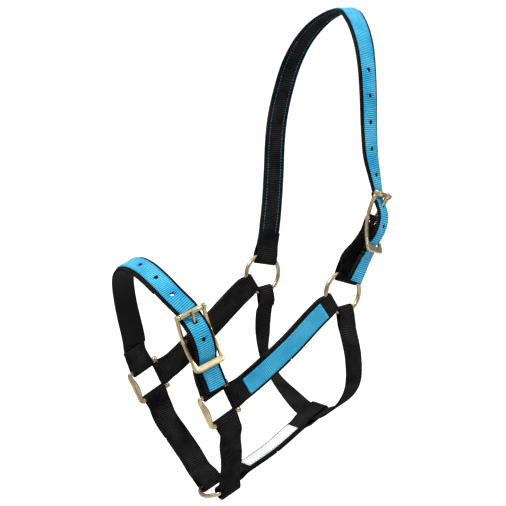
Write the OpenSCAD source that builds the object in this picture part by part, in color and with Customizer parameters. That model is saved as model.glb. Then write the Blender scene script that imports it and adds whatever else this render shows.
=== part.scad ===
// Head halter for a horse, in millimetres. The near side is the horse's left.
// +X is the near side, -Y is the nose, +Z is up, and the origin is the underside of the crown at the poll.

/* [Fit on the head] */
// Height from the poll down to the centres of the round rings
poll_to_ring = 274; // [220:1:330]
// Distance from the poll forward to the centres of the round rings
ring_forward = 52; // [40:1:65]
// Distance between the two round rings
ring_spread = 148; // [120:1:180]
// Distance between the two square rings
square_spread = 139; // [112:1:168]
// Distance from the round rings forward to the square rings
ring_to_square = 140; // [115:1:170]
// Distance from the round rings down to the square rings
square_drop = 98; // [80:1:118]
// Height of the noseband arch above the square rings
nose_arch = 149; // [125:1:180]
// Distance from the square rings down to the chin ring
chin_drop = 99; // [82:1:119]
// Distance from the square rings back to the chin ring
chin_back = 41; // [34:1:50]
// Height of the lowest point of the throat latch below the round rings
throat_drop = 136; // [112:1:164]

/* [Webbing] */
// Width of the main webbing
web_w = 25; // [20:1:27]
// Thickness of the main webbing
web_t = 2.2; // [1.6:0.1:2.6]
// Width of the coloured overlay
overlay_w = 18; // [14:1:20]
// Thickness of the coloured overlay
overlay_t = 1.4; // [1:0.1:1.8]
// Width of the throat latch
throat_w = 20; // [16:1:22]
// Thickness of the noseband lining
lining_t = 2; // [1.5:0.1:3]
// Diameter of the punched holes
hole_d = 4.4; // [3.6:0.1:5]
// Distance between the punched holes
hole_pitch = 26; // [22:0.5:30]
// Width of the care label
label_w = 19; // [14:1:22]
// Length of the care label
label_l = 66; // [50:1:76]

/* [Rings] */
// Inside diameter of the round rings
ring_d = 35; // [33:1:42]
// Wire diameter of the round rings
ring_wire = 4.5; // [3.6:0.1:5.4]
// Inside width of the square rings
square_in = 27.5; // [27:0.5:33]
// Bar diameter of the square rings
square_bar = 5; // [4:0.1:6]

/* [Buckles] */
// Roller axis to centre bar
roller_rise = 25; // [22:1:30]
// Centre bar to the middle of the end bar
end_drop = 29; // [26:1:35]
// Width of the end bar
end_bar = 6.5; // [5:0.1:7.8]
// Width of a side arm
arm_w = 3.8; // [3:0.1:4.6]
// Thickness of the frame plate
plate_t = 3.2; // [2.6:0.1:3.8]
// Depth of the bow in the frame
bow = 5.5; // [4.5:0.1:6.6]
// Diameter of the centre bar
centre_bar = 4; // [3.4:0.1:4.6]
// Outside diameter of the roller
roller_d = 5.6; // [5:0.1:6.7]
// Diameter of the pin under the roller
roller_pin = 3; // [2.6:0.1:3.4]
// Diameter of the tongue
tongue_d = 2.8; // [2.4:0.1:3.2]
// Height of the strap's hump over the centre bar
hump = 9.6; // [8.5:0.1:11.5]

/* [Hidden] */
$fn = 48;

slack = 0.3;            // between webbing and the metal it folds round
ply_gap = 0.12;         // between two layers of webbing sewn together
running = 0.08;         // radial clearance of a roller or a tongue on its bar
ring_ease = 0.7;        // extra room in a loop round a ring, where the ring curves past its edges
frame_play = 1;         // between the webbing's edge and a buckle's side arm
roller_play = 0.5;      // between a roller's end and a side arm
square_tilt = 27;       // lean of the square rings
nose_tilt = 24;         // lean of the noseband
chin_tilt = 25;         // rise of the chin ring towards the back
jaw_rise = 31;          // rise of the jaw strap towards the back
crown_far_angle = 79;   // direction of each strap round the round ring, from +Y
crown_near_angle = 73;
cheek_angle = 213;
throat_angle = 279;
cheek_neck = 0.76;      // share of its width that a cheek strap keeps where it folds round the ring
throat_neck = 0.8;
steps = 6;              // sweep sections in each span of a route

half_ply = (web_t + ply_gap) / 2;
ring_r = (ring_d + ring_wire) / 2;
wrap_ring = ring_wire / 2 + slack + web_t / 2;
wrap_square = square_bar / 2 + slack + web_t / 2;
wrap_bar = centre_bar / 2 + slack + web_t / 2;
square_r = (square_in + square_bar) / 2;
frame_w = web_w + 2 * frame_play + 2 * arm_w;
roller_n = bow + 0.5;
end_n = bow - 0.5;
strap_under_roller = roller_n - roller_d / 2 - 2 * slack - overlay_t - ply_gap - web_t / 2;
strap_under_end = end_n - plate_t / 2 - 4 * slack - overlay_t - ply_gap - web_t / 2;

near_ring = [ring_spread / 2, -ring_forward, -poll_to_ring];
near_square = [square_spread / 2, -ring_forward - ring_to_square, -poll_to_ring - square_drop];
chin_centre = [0, near_square.y + chin_back, near_square.z - chin_drop];
throat_low = [0, near_ring.y + 14.5, near_ring.z - throat_drop];

// ---- directions, places and smooth routes ----

function unit(v) = v / norm(v);
function end_of(rows) = rows[len(rows) - 1];
function all_but_last(rows) = [for (i = [0 : len(rows) - 2]) rows[i]];
function flip(rows) = [for (i = [len(rows) - 1 : -1 : 0]) rows[i]];
function in_yz(a) = [0, cos(a), sin(a)];
function place(r) = [r[0], r[1], r[2]];
function across(r) = [r[3], r[4], r[5]];
function row(p, w, width) = [p.x, p.y, p.z, w.x, w.y, w.z, width];

// A local frame: yaw about Z, lean backwards about X, tilt of the top outwards about Y.
function turn(yaw, lean, tilt) = let (
        rz = [[cos(yaw), -sin(yaw), 0], [sin(yaw), cos(yaw), 0], [0, 0, 1]],
        rx = [[1, 0, 0], [0, cos(lean), sin(lean)], [0, -sin(lean), cos(lean)]],
        ry = [[cos(tilt), 0, sin(tilt)], [0, 1, 0], [-sin(tilt), 0, cos(tilt)]])
    rz * rx * ry;
function seat(o, m) = [for (i = [0 : 2]) [m[i].x, m[i].y, m[i].z, o[i]]];
function to_world(s, p) = [for (i = [0 : 2]) s[i][0] * p.x + s[i][1] * p.y + s[i][2] * p.z + s[i][3]];
function to_dir(s, v) = [for (i = [0 : 2]) s[i][0] * v.x + s[i][1] * v.y + s[i][2] * v.z];

// A smooth curve through rows[1] to the last but one; the first and last rows only guide its ends.
function guide(end, d, next) = row(place(end) - d * norm(place(next) - place(end)), across(end), end[6]);
function route(start, d0, middle, end, d1) = let (last = len(middle) - 1)
    curve(concat([guide(start, d0, middle[0]), start], middle, [end, guide(end, -d1, middle[last])]));
function spot(a, b, c, d, t) = 0.5 * ((2 * b) + (c - a) * t + (2 * a - 5 * b + 4 * c - d) * t * t
    + (3 * b - a - 3 * c + d) * t * t * t);
function curve(rows, n = steps) = [for (i = [1 : len(rows) - 3], k = [0 : n - 1])
        spot(rows[i - 1], rows[i], rows[i + 1], rows[i + 2], k / n), rows[len(rows) - 2]];

function along(rows, i) = unit(place(rows[min(i + 1, len(rows) - 1)]) - place(rows[max(i - 1, 0)]));
function square_to(w, t) = unit(w - (w * t) * t);
function face(rows, i) = cross(along(rows, i), square_to(across(rows[i]), along(rows, i)));
function lift(rows, h) = [for (i = [0 : len(rows) - 1])
        row(place(rows[i]) + face(rows, i) * h, across(rows[i]), rows[i][6])];
function widths(rows, w) = [for (r = rows) row(place(r), across(r), w)];
function run(rows, i = 0) = i >= len(rows) - 1 ? 0
    : norm(place(rows[i + 1]) - place(rows[i])) + run(rows, i + 1);
// The row at a length measured along the rows, and an even stretch of the rows between two lengths
function at_length(rows, s, i = 0) = let (d = norm(place(rows[i + 1]) - place(rows[i])))
    s <= d || i >= len(rows) - 2 ? rows[i] + (rows[i + 1] - rows[i]) * s / d : at_length(rows, s - d, i + 1);
function stretch(rows, from, to, pitch = 3) = let (n = ceil((to - from) / pitch))
    [for (k = [0 : n]) at_length(rows, from + (to - from) * k / n)];

// Webbing folded round a bar at b: in along d on the +n side, round the bar, and out on the -n side.
function ease(t) = let (u = min(max(t, 0), 1)) u * u * (3 - 2 * u);
function fold(b, d, n, w, r, flat, reach, narrow, wide, tail = 0) = let (
        off = function (s) r + (half_ply - r) * ease((s - flat) / (reach - flat)),
        wid = function (s) narrow + (wide - narrow) * ease(s / reach),
        rise = [for (k = [0 : 6]) reach * k / 6])
    concat(
        [for (k = [6 : -1 : 0]) row(b + d * rise[k] + n * off(rise[k]), w, wid(rise[k]))],
        [for (a = [30 : 30 : 150]) row(b + (n * cos(a) - d * sin(a)) * r, w, narrow)],
        [for (k = [0 : 6]) row(b + d * rise[k] - n * off(rise[k]), w, wid(rise[k]))],
        tail > reach ? [row(b + d * tail - n * half_ply, w, wide)] : []);

// A fold round a round ring: the webbing's edges reach further in than its middle.
function ring_fold(c, u, n, w, narrow, wide, tail = 0, close = 13) = let (
        inner = sqrt(ring_r * ring_r - narrow * narrow / 4) - ring_ease)
    fold(c + u * inner, u, n, w, wrap_ring, ring_r - inner, ring_r - inner + close, narrow, wide, tail);

// A band of webbing folded at both ends: its own ends meet on the outer side at a share of its length.
function band(first, middle, last, meet) = let (
        outer = lift(middle, half_ply),
        inner = lift(middle, -half_ply),
        m = round(meet * (len(middle) - 1)),
        t = along(outer, m) * 0.4,
        near_end = row(place(outer[m]) - t, across(outer[m]), outer[m][6]),
        far_end = row(place(outer[m]) + t, across(outer[m]), outer[m][6]))
    concat([near_end], flip([for (i = [1 : 1 : m - 1]) outer[i]]), first,
        [for (i = [1 : len(inner) - 2]) inner[i]], last,
        flip([for (i = [m + 1 : 1 : len(outer) - 2]) outer[i]]), [far_end]);

// Webbing swept along its rows; lift_by moves it off the route towards its outer face.
module webbing(rows, t, lift_by = 0) {
    n = len(rows);
    points = [for (i = [0 : n - 1]) let (
            f = face(rows, i),
            w = square_to(across(rows[i]), along(rows, i)) * rows[i][6] / 2,
            p = place(rows[i]) + f * lift_by)
        each [p - w - f * t / 2, p + w - f * t / 2, p + w + f * t / 2, p - w + f * t / 2]];
    sides = [for (i = [0 : n - 2], k = [0 : 3]) let (
            a = 4 * i + k, b = 4 * i + (k + 1) % 4)
        each [[a, b, b + 4], [a, b + 4, a + 4]]];
    caps = [[2, 1, 0], [3, 2, 0], [4 * n - 4, 4 * n - 3, 4 * n - 2], [4 * n - 4, 4 * n - 2, 4 * n - 1]];
    polyhedron(points, [for (f = concat(sides, caps)) [f[2], f[1], f[0]]]);
}

// ---- the roller buckle, in its own frame: X outwards, Y across the strap, Z towards the roller ----

module buckle_frame() {
    top = roller_rise;
    mid = (roller_rise - end_drop) / 2;
    r = ((roller_rise + end_drop) / 2 * (roller_rise + end_drop) / 2 + bow * bow) / (2 * bow);
    intersection() {
        translate([r, 0, mid]) rotate([90, 0, 0]) difference() {
            cylinder(r = r + plate_t / 2, h = frame_w, center = true, $fn = 180);
            cylinder(r = r - plate_t / 2, h = frame_w + 2, center = true, $fn = 180);
        }
        translate([-10, 0, 0]) rotate([90, 0, 90]) linear_extrude(30) difference() {
            union() {
                for (s = [-1, 1]) translate([s * (frame_w - arm_w) / 2, (top - end_drop) / 2])
                    square([arm_w, top + end_drop], center = true);
                for (s = [-1, 1]) translate([s * (frame_w - arm_w) / 2, top]) circle(d = arm_w);
                translate([0, -end_drop]) square([frame_w - end_bar, end_bar], center = true);
                for (s = [-1, 1]) translate([s * (frame_w - end_bar) / 2, -end_drop]) circle(d = end_bar);
            }
        }
    }
    for (s = [-1, 1]) translate([roller_n, s * (frame_w - arm_w) / 2, top]) rotate([90, 0, 0])
        cylinder(d = roller_d + 0.4, h = arm_w, center = true);
    translate([roller_n, 0, top]) rotate([90, 0, 0]) cylinder(d = roller_pin, h = frame_w - 1, center = true);
    rotate([90, 0, 0]) cylinder(d = centre_bar, h = frame_w - 1, center = true);
}

module buckle_roller() {
    translate([roller_n, 0, roller_rise]) rotate([90, 0, 0]) difference() {
        cylinder(d = roller_d, h = frame_w - 2 * arm_w - 2 * roller_play, center = true);
        cylinder(d = roller_pin + 2 * running, h = frame_w, center = true);
    }
}

collar_w = 5;
collar_d = centre_bar + 3;
tongue_n = roller_n + roller_d / 2 + 2 * slack + tongue_d / 2;   // tongue's axis where it lies on the roller
tongue_lean = atan(tongue_n / roller_rise);
tongue_l = norm([tongue_n, roller_rise]) + 3.4;

module buckle_tongue() {
    difference() {
        union() {
            rotate([90, 0, 0]) cylinder(d = collar_d, h = collar_w, center = true);
            rotate([0, tongue_lean, 0]) {
                cylinder(d = tongue_d, h = tongue_l);
                translate([0, 0, tongue_l]) sphere(d = tongue_d);
            }
        }
        rotate([90, 0, 0]) cylinder(d = centre_bar + 2 * running, h = collar_w + 2, center = true);
    }
}

// Route of the strap through a buckle, as [outwards, upwards] in the buckle's frame
buckle_route = [[strap_under_roller - 0.4, roller_rise + 2.5],
    [strap_under_roller, roller_rise - 2.5], [hump * 0.55, roller_rise * 0.55],
    [hump * 0.9, roller_rise * 0.28], [hump, 0], [hump * 0.88, -end_drop * 0.31],
    [hump * 0.5, -end_drop * 0.64], [strap_under_end + 0.3, -end_drop + 4],
    [strap_under_end - 0.3, -end_drop - 2]];

// The engaged hole runs along the tongue, with room for the tongue to lift.
tongue_play = 4;
module tongue_hole() {
    rotate([0, tongue_lean + tongue_play / 2, 0]) translate([0, 0, 6])
        rotate(20) cylinder(d = tongue_d + 2, h = roller_rise - 8);
}

module chape_slot() {
    translate([0, 0, 1]) cube([24, collar_w + 1.4, collar_d + 7], center = true);
}

// ---- places of the two buckles ----

crown_seat = seat([near_ring.x + 18, near_ring.y + 24, near_ring.z + 73], turn(32, 13, 3));
nose_seat = seat(near_square + [2.5, 0, 0] + in_yz(nose_tilt) * 5 + in_yz(nose_tilt + 90) * 74.5,
    turn(0, -nose_tilt + 4.5, -7));

// ---- crown ----

function crown_row(x, y, z, yaw = 0) = row([x * ring_spread / 2, y * ring_forward, z * poll_to_ring],
    [-sin(yaw), cos(yaw), 0], web_w);
function in_buckle(s, p, w = web_w) = row(to_world(s, [p.x, 0, p.y]), to_dir(s, [0, 1, 0]), w);

far_ring = [-near_ring.x, near_ring.y, near_ring.z];
crown_start = flip(ring_fold(far_ring, in_yz(crown_far_angle), [-1, 0, 0], in_yz(crown_far_angle - 90),
    web_w, web_w, 30));
crown_run = route(end_of(crown_start), in_yz(crown_far_angle), concat([
    crown_row(-1.02, -0.825, -0.835), crown_row(-1.09, -0.70, -0.74), crown_row(-1.14, -0.61, -0.62),
    crown_row(-1.15, -0.57, -0.50), crown_row(-1.12, -0.53, -0.40), crown_row(-1.04, -0.46, -0.295),
    crown_row(-0.91, -0.38, -0.195), crown_row(-0.70, -0.27, -0.104), crown_row(-0.38, -0.13, -0.03),
    row([0, 0, web_t / 2], [0, 1, 0], web_w),
    crown_row(0.38, -0.13, -0.03, 3), crown_row(0.70, -0.27, -0.104, 8), crown_row(0.90, -0.38, -0.195, 12),
    crown_row(1.02, -0.46, -0.295, 14), crown_row(1.09, -0.51, -0.40, 16), crown_row(1.13, -0.51, -0.50, 20),
    crown_row(1.17, -0.46, -0.575, 27)],
    [for (p = buckle_route) in_buckle(crown_seat, p)],
    [row(near_ring + [13.5, 15.5, 32], [-0.45, 0.85, -0.3], web_w)]),
    row(near_ring + [9, 7, 11], [-0.35, 0.87, -0.35], web_w), unit([-0.2, -0.4, -0.9]));
crown_rows = concat(all_but_last(crown_start), stretch(crown_run, 0, run(crown_run)));
overlay_lift = web_t / 2 + ply_gap + overlay_t / 2;

// Length along a route where each punched hole lies, counted from the hole that the tongue is in
function holes(engaged, counts) = [for (c = counts) engaged + c * hole_pitch];
module punch(rows, lengths) {
    for (s = lengths) {
        ends = [at_length(rows, s - 1), at_length(rows, s), at_length(rows, s + 1)];
        f = face(ends, 1);
        w = square_to(across(ends[1]), along(ends, 1));
        v = cross(f, w);
        multmatrix(seat(place(ends[1]), [[w.x, v.x, f.x], [w.y, v.y, f.y], [w.z, v.z, f.z]]))
            rotate(20) cylinder(d = hole_d, h = 14, center = true);
    }
}

crown_holes = holes(run(crown_run) - 90, [-5, -4, -3, -2, -1, 1, 2]);

module crown_strap() {
    color("#26262a") difference() {
        webbing(crown_rows, web_t);
        multmatrix(crown_seat) tongue_hole();
        punch(crown_run, crown_holes);
    }
}

module crown_overlay() {
    color("#4cb6d8") difference() {
        webbing(widths(stretch(crown_run, 4, run(crown_run) - 1.5), overlay_w), overlay_t, overlay_lift);
        multmatrix(crown_seat) tongue_hole();
        punch(crown_run, crown_holes);
    }
}

// A chape: webbing from a ring up to a buckle's centre bar and back
function chape_top(s, lean) = fold(to_world(s, [0, 0, 0]), to_dir(s, unit([-lean, 0, -1])),
    to_dir(s, unit([1, 0, -lean])), to_dir(s, [0, 1, 0]), wrap_bar, 0, 14, web_w, web_w);
crown_chape_lean = 0.42;    // how far each chape leaves the buckle inwards, for each millimetre down
nose_chape_lean = 0.14;

crown_chape_low = ring_fold(near_ring, in_yz(crown_near_angle), [-1, 0, 0], in_yz(crown_near_angle - 90),
    web_w, web_w);
crown_chape_top = chape_top(crown_seat, crown_chape_lean);
function mid_row(rows, i, j) = (rows[i] + rows[j]) / 2;
function ends_mid(f) = mid_row(f, 0, len(f) - 1);
// A smooth piece of route between two folds, bulging sideways by the given amount
function link(start, d0, end, d1, bulge = [0, 0, 0]) = let (gap = norm(place(end) - place(start)) * 0.3,
        a = row(place(start) + unit(d0) * gap, across(start), start[6]),
        b = row(place(end) - unit(d1) * gap, across(end), end[6]))
    route(start, unit(d0), [mid_row([a, b], 0, 1) + concat(bulge, [0, 0, 0, 0])], end, unit(d1));
crown_chape_rows = band(crown_chape_low,
    link(ends_mid(crown_chape_low), in_yz(crown_near_angle), ends_mid(crown_chape_top),
        to_dir(crown_seat, [crown_chape_lean, 0, 1]), [0, 3, 0]),
    crown_chape_top, 0.5);

module crown_chape() {
    color("#222226") difference() {
        webbing(crown_chape_rows, web_t);
        multmatrix(crown_seat) chape_slot();
    }
}

module crown_buckle_frame() { color("#bfae7e") multmatrix(crown_seat) buckle_frame(); }
module crown_buckle_roller() { color("#c9b988") multmatrix(crown_seat) buckle_roller(); }
module crown_buckle_tongue() { color("#b8a775") multmatrix(crown_seat) buckle_tongue(); }

// ---- round rings ----

module round_ring() {
    rotate([0, 90, 0]) rotate_extrude($fn = 96) translate([ring_r, 0]) circle(d = ring_wire, $fn = 32);
}
module near_round_ring() { color("#c2b184") translate(near_ring) round_ring(); }
module far_round_ring() { color("#c2b184") translate(far_ring) round_ring(); }

// ---- square rings: three round bars and a flat front bar ----

module square_ring() {
    front = square_r + 0.4;
    translate(near_square) rotate([square_tilt, 0, 0]) {
        for (s = [-1, 1]) translate([0, 0, s * square_r]) rotate([90, 0, 0])
            cylinder(d = square_bar, h = 2 * square_r, center = true);
        translate([0, square_r, 0]) cylinder(d = square_bar, h = 2 * square_r, center = true);
        for (s = [-1, 1]) translate([0, square_r, s * square_r]) sphere(d = square_bar + 1.4);
        rotate([0, -90, 0]) linear_extrude(square_bar - 1, center = true) {
            translate([0, -front]) square([2 * square_r, square_bar], center = true);
            for (s = [-1, 1]) translate([s * square_r, -front]) circle(d = square_bar + 1);
            intersection() {
                translate([0, -front + square_bar / 2 + 2 - 60]) circle(r = 60, $fn = 180);
                translate([0, -front + square_bar / 2]) square([2 * square_r - 3, square_bar], center = true);
            }
        }
    }
}
module near_square_ring() { color("#c2b184") square_ring(); }
module far_square_ring() { color("#c2b184") mirror([1, 0, 0]) square_ring(); }

// ---- cheek straps, between a round ring and a square ring ----

back_bar = near_square + in_yz(square_tilt) * square_r;
cheek_first = ring_fold(near_ring, in_yz(cheek_angle), [1, 0, 0], in_yz(cheek_angle + 90),
    web_w * cheek_neck, web_w, close = 8);
cheek_last = fold(back_bar, in_yz(square_tilt), [-1, 0, 0], in_yz(square_tilt - 90), wrap_square, 0, 13,
    web_w, web_w);
cheek_mid = link(ends_mid(cheek_first), in_yz(cheek_angle), ends_mid(cheek_last), -in_yz(square_tilt),
    [1.5, 0, 0]);
cheek_rows = band(cheek_first, cheek_mid, cheek_last, 0.5);

module cheek_strap() {
    webbing(cheek_rows, web_t);
}
module cheek_overlay() {
    webbing(widths(stretch(lift(cheek_mid, half_ply), 0, run(cheek_mid) - 4), overlay_w), overlay_t, overlay_lift);
}
module near_cheek_strap() { color("#2a2a2e") cheek_strap(); }
module near_cheek_overlay() { color("#4cb4d6") cheek_overlay(); }
module far_cheek_strap() { color("#2a2a2e") mirror([1, 0, 0]) cheek_strap(); }
module far_cheek_overlay() { color("#4cb4d6") mirror([1, 0, 0]) cheek_overlay(); }

// ---- noseband ----

function nose_row(x, b, w, width = web_w) = row([x * square_spread / 2, near_square.y, near_square.z]
    + in_yz(nose_tilt) * b + in_yz(nose_tilt + 90) * w * nose_arch, in_yz(nose_tilt), width);

far_square = [-near_square.x, near_square.y, near_square.z];
top_bar = in_yz(square_tilt + 90) * square_r;
nose_start = flip(fold(far_square + top_bar, in_yz(square_tilt + 90), [-1, 0, 0], in_yz(square_tilt), wrap_square,
    0, 13, web_w, web_w, 24));
nose_run = route(end_of(nose_start), in_yz(square_tilt + 90), concat([
    nose_row(-1.01, 3.5, 0.34), nose_row(-0.99, 7, 0.50), nose_row(-0.92, 9, 0.635), nose_row(-0.76, 9, 0.765),
    nose_row(-0.52, 7, 0.87), nose_row(-0.26, 6, 0.935), nose_row(0, 5.5, 0.955), nose_row(0.28, 5, 0.935),
    nose_row(0.56, 4.5, 0.87), nose_row(0.83, 4, 0.785)],
    [for (p = concat(buckle_route, [[-0.4, -end_drop - 9], [-0.2, -end_drop - 18]])) in_buckle(nose_seat, p)]),
    in_buckle(nose_seat, [0, -end_drop - 27]), to_dir(nose_seat, [0, 0, -1]));
nose_rows = concat(all_but_last(nose_start), stretch(nose_run, 0, run(nose_run)));
nose_holes = holes(run(nose_run) - 82, [-3, -2, -1, 1]);

module noseband_strap() {
    color("#222224") difference() {
        webbing(nose_rows, web_t);
        multmatrix(nose_seat) tongue_hole();
        punch(nose_run, nose_holes);
    }
}

module noseband_overlay() {
    color("#45b5d7") difference() {
        webbing(widths(stretch(nose_run, 4, run(nose_run) - 1.5), overlay_w), overlay_t, overlay_lift);
        multmatrix(nose_seat) tongue_hole();
        punch(nose_run, nose_holes);
    }
}

module noseband_lining() {
    color("#151517") webbing(stretch(nose_run, 14, run(nose_run) - 122), lining_t,
        -(web_t + lining_t) / 2 - ply_gap);
}

nose_chape_low = fold(near_square + top_bar, in_yz(square_tilt + 90), [-1, 0, 0], in_yz(square_tilt), wrap_square,
    0, 12, web_w, web_w);
nose_chape_top = chape_top(nose_seat, nose_chape_lean);
nose_chape_rows = band(nose_chape_low,
    link(ends_mid(nose_chape_low), in_yz(square_tilt + 90), ends_mid(nose_chape_top),
        to_dir(nose_seat, [nose_chape_lean, 0, 1])),
    nose_chape_top, 0.5);

module nose_chape() {
    color("#222226") difference() {
        webbing(nose_chape_rows, web_t);
        multmatrix(nose_seat) chape_slot();
    }
}
module nose_buckle_frame() { color("#bfae7e") multmatrix(nose_seat) buckle_frame(); }
module nose_buckle_roller() { color("#c9b988") multmatrix(nose_seat) buckle_roller(); }
module nose_buckle_tongue() { color("#b8a775") multmatrix(nose_seat) buckle_tongue(); }

// ---- chin ring and chin straps ----

module chin_ring() {
    color("#bcab7c") translate(chin_centre) rotate([chin_tilt, 0, 0])
        rotate_extrude($fn = 96) translate([ring_r, 0]) circle(d = ring_wire, $fn = 32);
}

chin_rise = 45;
chin_in = sqrt(ring_r * ring_r - web_w * web_w / 4);
chin_dir = cos(chin_rise) * [1, 0, 0] + sin(chin_rise) * in_yz(chin_tilt + 90);
chin_first = fold(near_square - top_bar, in_yz(square_tilt - 90), [1, 0, 0], in_yz(square_tilt), wrap_square,
    0, 13, web_w, web_w);
chin_last = fold(chin_centre + [(chin_in + ring_r) / 2, 0, 0], chin_dir, cross(chin_dir, in_yz(chin_tilt)),
    in_yz(chin_tilt), wrap_ring + (ring_r - chin_in) / 2 * sin(chin_rise) + ring_ease, 2, 16,
    web_w * 0.94, web_w);
function chin_row(x, y, z) = row([near_square.x * x, near_square.y + chin_back * y, near_square.z - chin_drop * z],
    in_yz(square_tilt), web_w);
chin_mid = route(ends_mid(chin_first), in_yz(square_tilt - 90),
    [chin_row(0.91, 0.40, 0.40), chin_row(0.75, 0.60, 0.58), chin_row(0.57, 0.77, 0.75)],
    ends_mid(chin_last), -chin_dir);
chin_rows = band(chin_first, chin_mid, chin_last, 0.45);

module chin_strap() { webbing(chin_rows, web_t); }
module near_chin_strap() { color("#28282c") chin_strap(); }
module far_chin_strap() { color("#28282c") mirror([1, 0, 0]) chin_strap(); }

// ---- throat latch and the jaw strap that hangs on it ----

throat_first = ring_fold(near_ring, in_yz(throat_angle), [-1, 0, 0], in_yz(throat_angle + 90),
    throat_w * throat_neck, throat_w, 19, close = 10);
throat_side = flip(throat_first);
function throat_row(s, x, y, z, a, twist = 0) = row([s * x * ring_spread / 2, near_ring.y + y,
    near_ring.z - z * throat_drop], in_yz(a) - [twist, 0, 0], throat_w);
throat_half = [[1.06, 4.5, 0.30, 10], [1.10, 8, 0.47, 11], [1.03, 12, 0.665, 14], [0.80, 15.5, 0.81, 19],
    [0.47, 16, 0.93, 26], [0.17, 14.8, 0.996, 31]];
// the far half turns a little on its way down
throat_far_half = [[1.06, 4.5, 0.30, 10, 0], [1.10, 5, 0.47, 11, 0.15], [1.05, 5, 0.655, 14, 0.7],
    [0.84, 9, 0.80, 19, 0.9], [0.50, 13.5, 0.925, 26, 0.4], [0.18, 14.6, 0.996, 31, 0]];
throat_far = [for (r = throat_side) row([-place(r).x, place(r).y, place(r).z], across(r), r[6])];
throat_rows = concat(
    all_but_last(throat_side),
    route(end_of(throat_side), in_yz(throat_angle), concat(
        [for (h = throat_half) throat_row(1, h[0], h[1], h[2], h[3])],
        [row(throat_low, in_yz(jaw_rise), throat_w)],
        [for (h = flip(throat_far_half)) throat_row(-1, h[0], h[1], h[2], h[3], h[4])]),
        end_of(throat_far), -in_yz(throat_angle)),
    flip(all_but_last(throat_far)));

module throat_latch() { color("#27272b") webbing(throat_rows, web_t); }

jaw_dir = in_yz(jaw_rise);
jaw_first = ring_fold(chin_centre, in_yz(chin_tilt), in_yz(chin_tilt - 90), [1, 0, 0], web_w * 0.92, web_w,
    close = 12);
jaw_last = fold(throat_low + jaw_dir * (throat_w / 2 - 1), -jaw_dir, in_yz(jaw_rise + 90), [1, 0, 0],
    web_t + 3 * slack, throat_w + 0.5, throat_w + 11, web_w, web_w);
jaw_mid = link(ends_mid(jaw_first), in_yz(chin_tilt), ends_mid(jaw_last), jaw_dir, [0, 0, -1]);
jaw_rows = band(jaw_first, jaw_mid, jaw_last, 0.5);

module jaw_strap() { color("#232327") webbing(jaw_rows, web_t); }

label_t = 0.5;
module care_label() {
    color("#e8e8e4") webbing(widths(stretch(lift(jaw_mid, -half_ply), 4, 4 + label_l), label_w), label_t,
        -(web_t + label_t) / 2 - 0.05);
}

crown_strap();
crown_overlay();
crown_chape();
crown_buckle_frame();
crown_buckle_roller();
crown_buckle_tongue();
near_round_ring();
far_round_ring();
near_cheek_strap();
near_cheek_overlay();
far_cheek_strap();
far_cheek_overlay();
noseband_strap();
noseband_overlay();
noseband_lining();
nose_chape();
nose_buckle_frame();
nose_buckle_roller();
nose_buckle_tongue();
near_square_ring();
far_square_ring();
near_chin_strap();
far_chin_strap();
chin_ring();
throat_latch();
jaw_strap();
care_label();
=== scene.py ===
"""Horse head halter: ribbed black webbing, blue overlay and pale brass hardware.

+X is the horse's left, -Y its nose and +Z is up. Sizes are millimetres until a mesh is made.
"""

import math

import bmesh
import bpy
from mathutils import Matrix, Vector


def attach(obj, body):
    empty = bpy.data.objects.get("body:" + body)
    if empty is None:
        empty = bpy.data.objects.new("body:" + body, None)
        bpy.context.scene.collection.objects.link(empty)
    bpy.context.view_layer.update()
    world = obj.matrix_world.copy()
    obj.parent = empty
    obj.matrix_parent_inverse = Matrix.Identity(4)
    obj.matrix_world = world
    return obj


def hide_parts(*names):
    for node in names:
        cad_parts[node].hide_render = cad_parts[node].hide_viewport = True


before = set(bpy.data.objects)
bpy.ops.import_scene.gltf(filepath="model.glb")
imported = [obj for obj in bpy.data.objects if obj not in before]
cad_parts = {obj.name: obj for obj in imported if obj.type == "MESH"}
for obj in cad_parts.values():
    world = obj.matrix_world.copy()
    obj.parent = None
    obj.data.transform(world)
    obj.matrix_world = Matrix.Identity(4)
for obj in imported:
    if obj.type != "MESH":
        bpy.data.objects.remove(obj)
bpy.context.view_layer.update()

# ---------------------------------------------------------------- camera, light and floor

VIEW_AT = Vector((0, -0.110, -0.239))
AZIMUTH, ELEVATION, DISTANCE = math.radians(58), math.radians(8), 2.070


def make_camera():
    back = Vector((
        math.sin(AZIMUTH) * math.cos(ELEVATION), -math.cos(AZIMUTH) * math.cos(ELEVATION), math.sin(ELEVATION)
    ))
    data = bpy.data.cameras.new("camera")
    data.lens = 147.27
    data.sensor_width = 36
    data.clip_end = 300
    camera = bpy.data.objects.new("camera", data)
    camera.location = VIEW_AT + back * DISTANCE
    camera.rotation_euler = back.to_track_quat("Z", "Y").to_euler()
    bpy.context.scene.collection.objects.link(camera)
    bpy.context.scene.camera = camera


def area_light(name, at, size, watts, tint=(1, 1, 1)):
    data = bpy.data.lights.new(name, "AREA")
    data.shape = "DISK"
    data.size = size
    data.energy = watts
    data.color = tint
    light = bpy.data.objects.new(name, data)
    light.location = at
    light.rotation_euler = (Vector(at) - VIEW_AT).to_track_quat("Z", "Y").to_euler()
    bpy.context.scene.collection.objects.link(light)


make_camera()
area_light("key", (0.7, -2.1, 2.4), 0.7, 86)
area_light("side", (2.1, 1.3, 1.7), 0.6, 44)
area_light("back", (-1.9, 1.2, 1.7), 0.9, 16)

# ---------------------------------------------------------------- sizes, in millimetres

MM = 0.001
WEB_W, WEB_T = 25.0, 2.2
OVERLAY_W, OVERLAY_T = 18.0, 1.4
THROAT_W = 20.0
LINING_T = 2.0
LABEL_W, LABEL_L, LABEL_T = 19.0, 66.0, 0.5
HOLE_D, HOLE_PITCH = 4.4, 26.0

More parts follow.
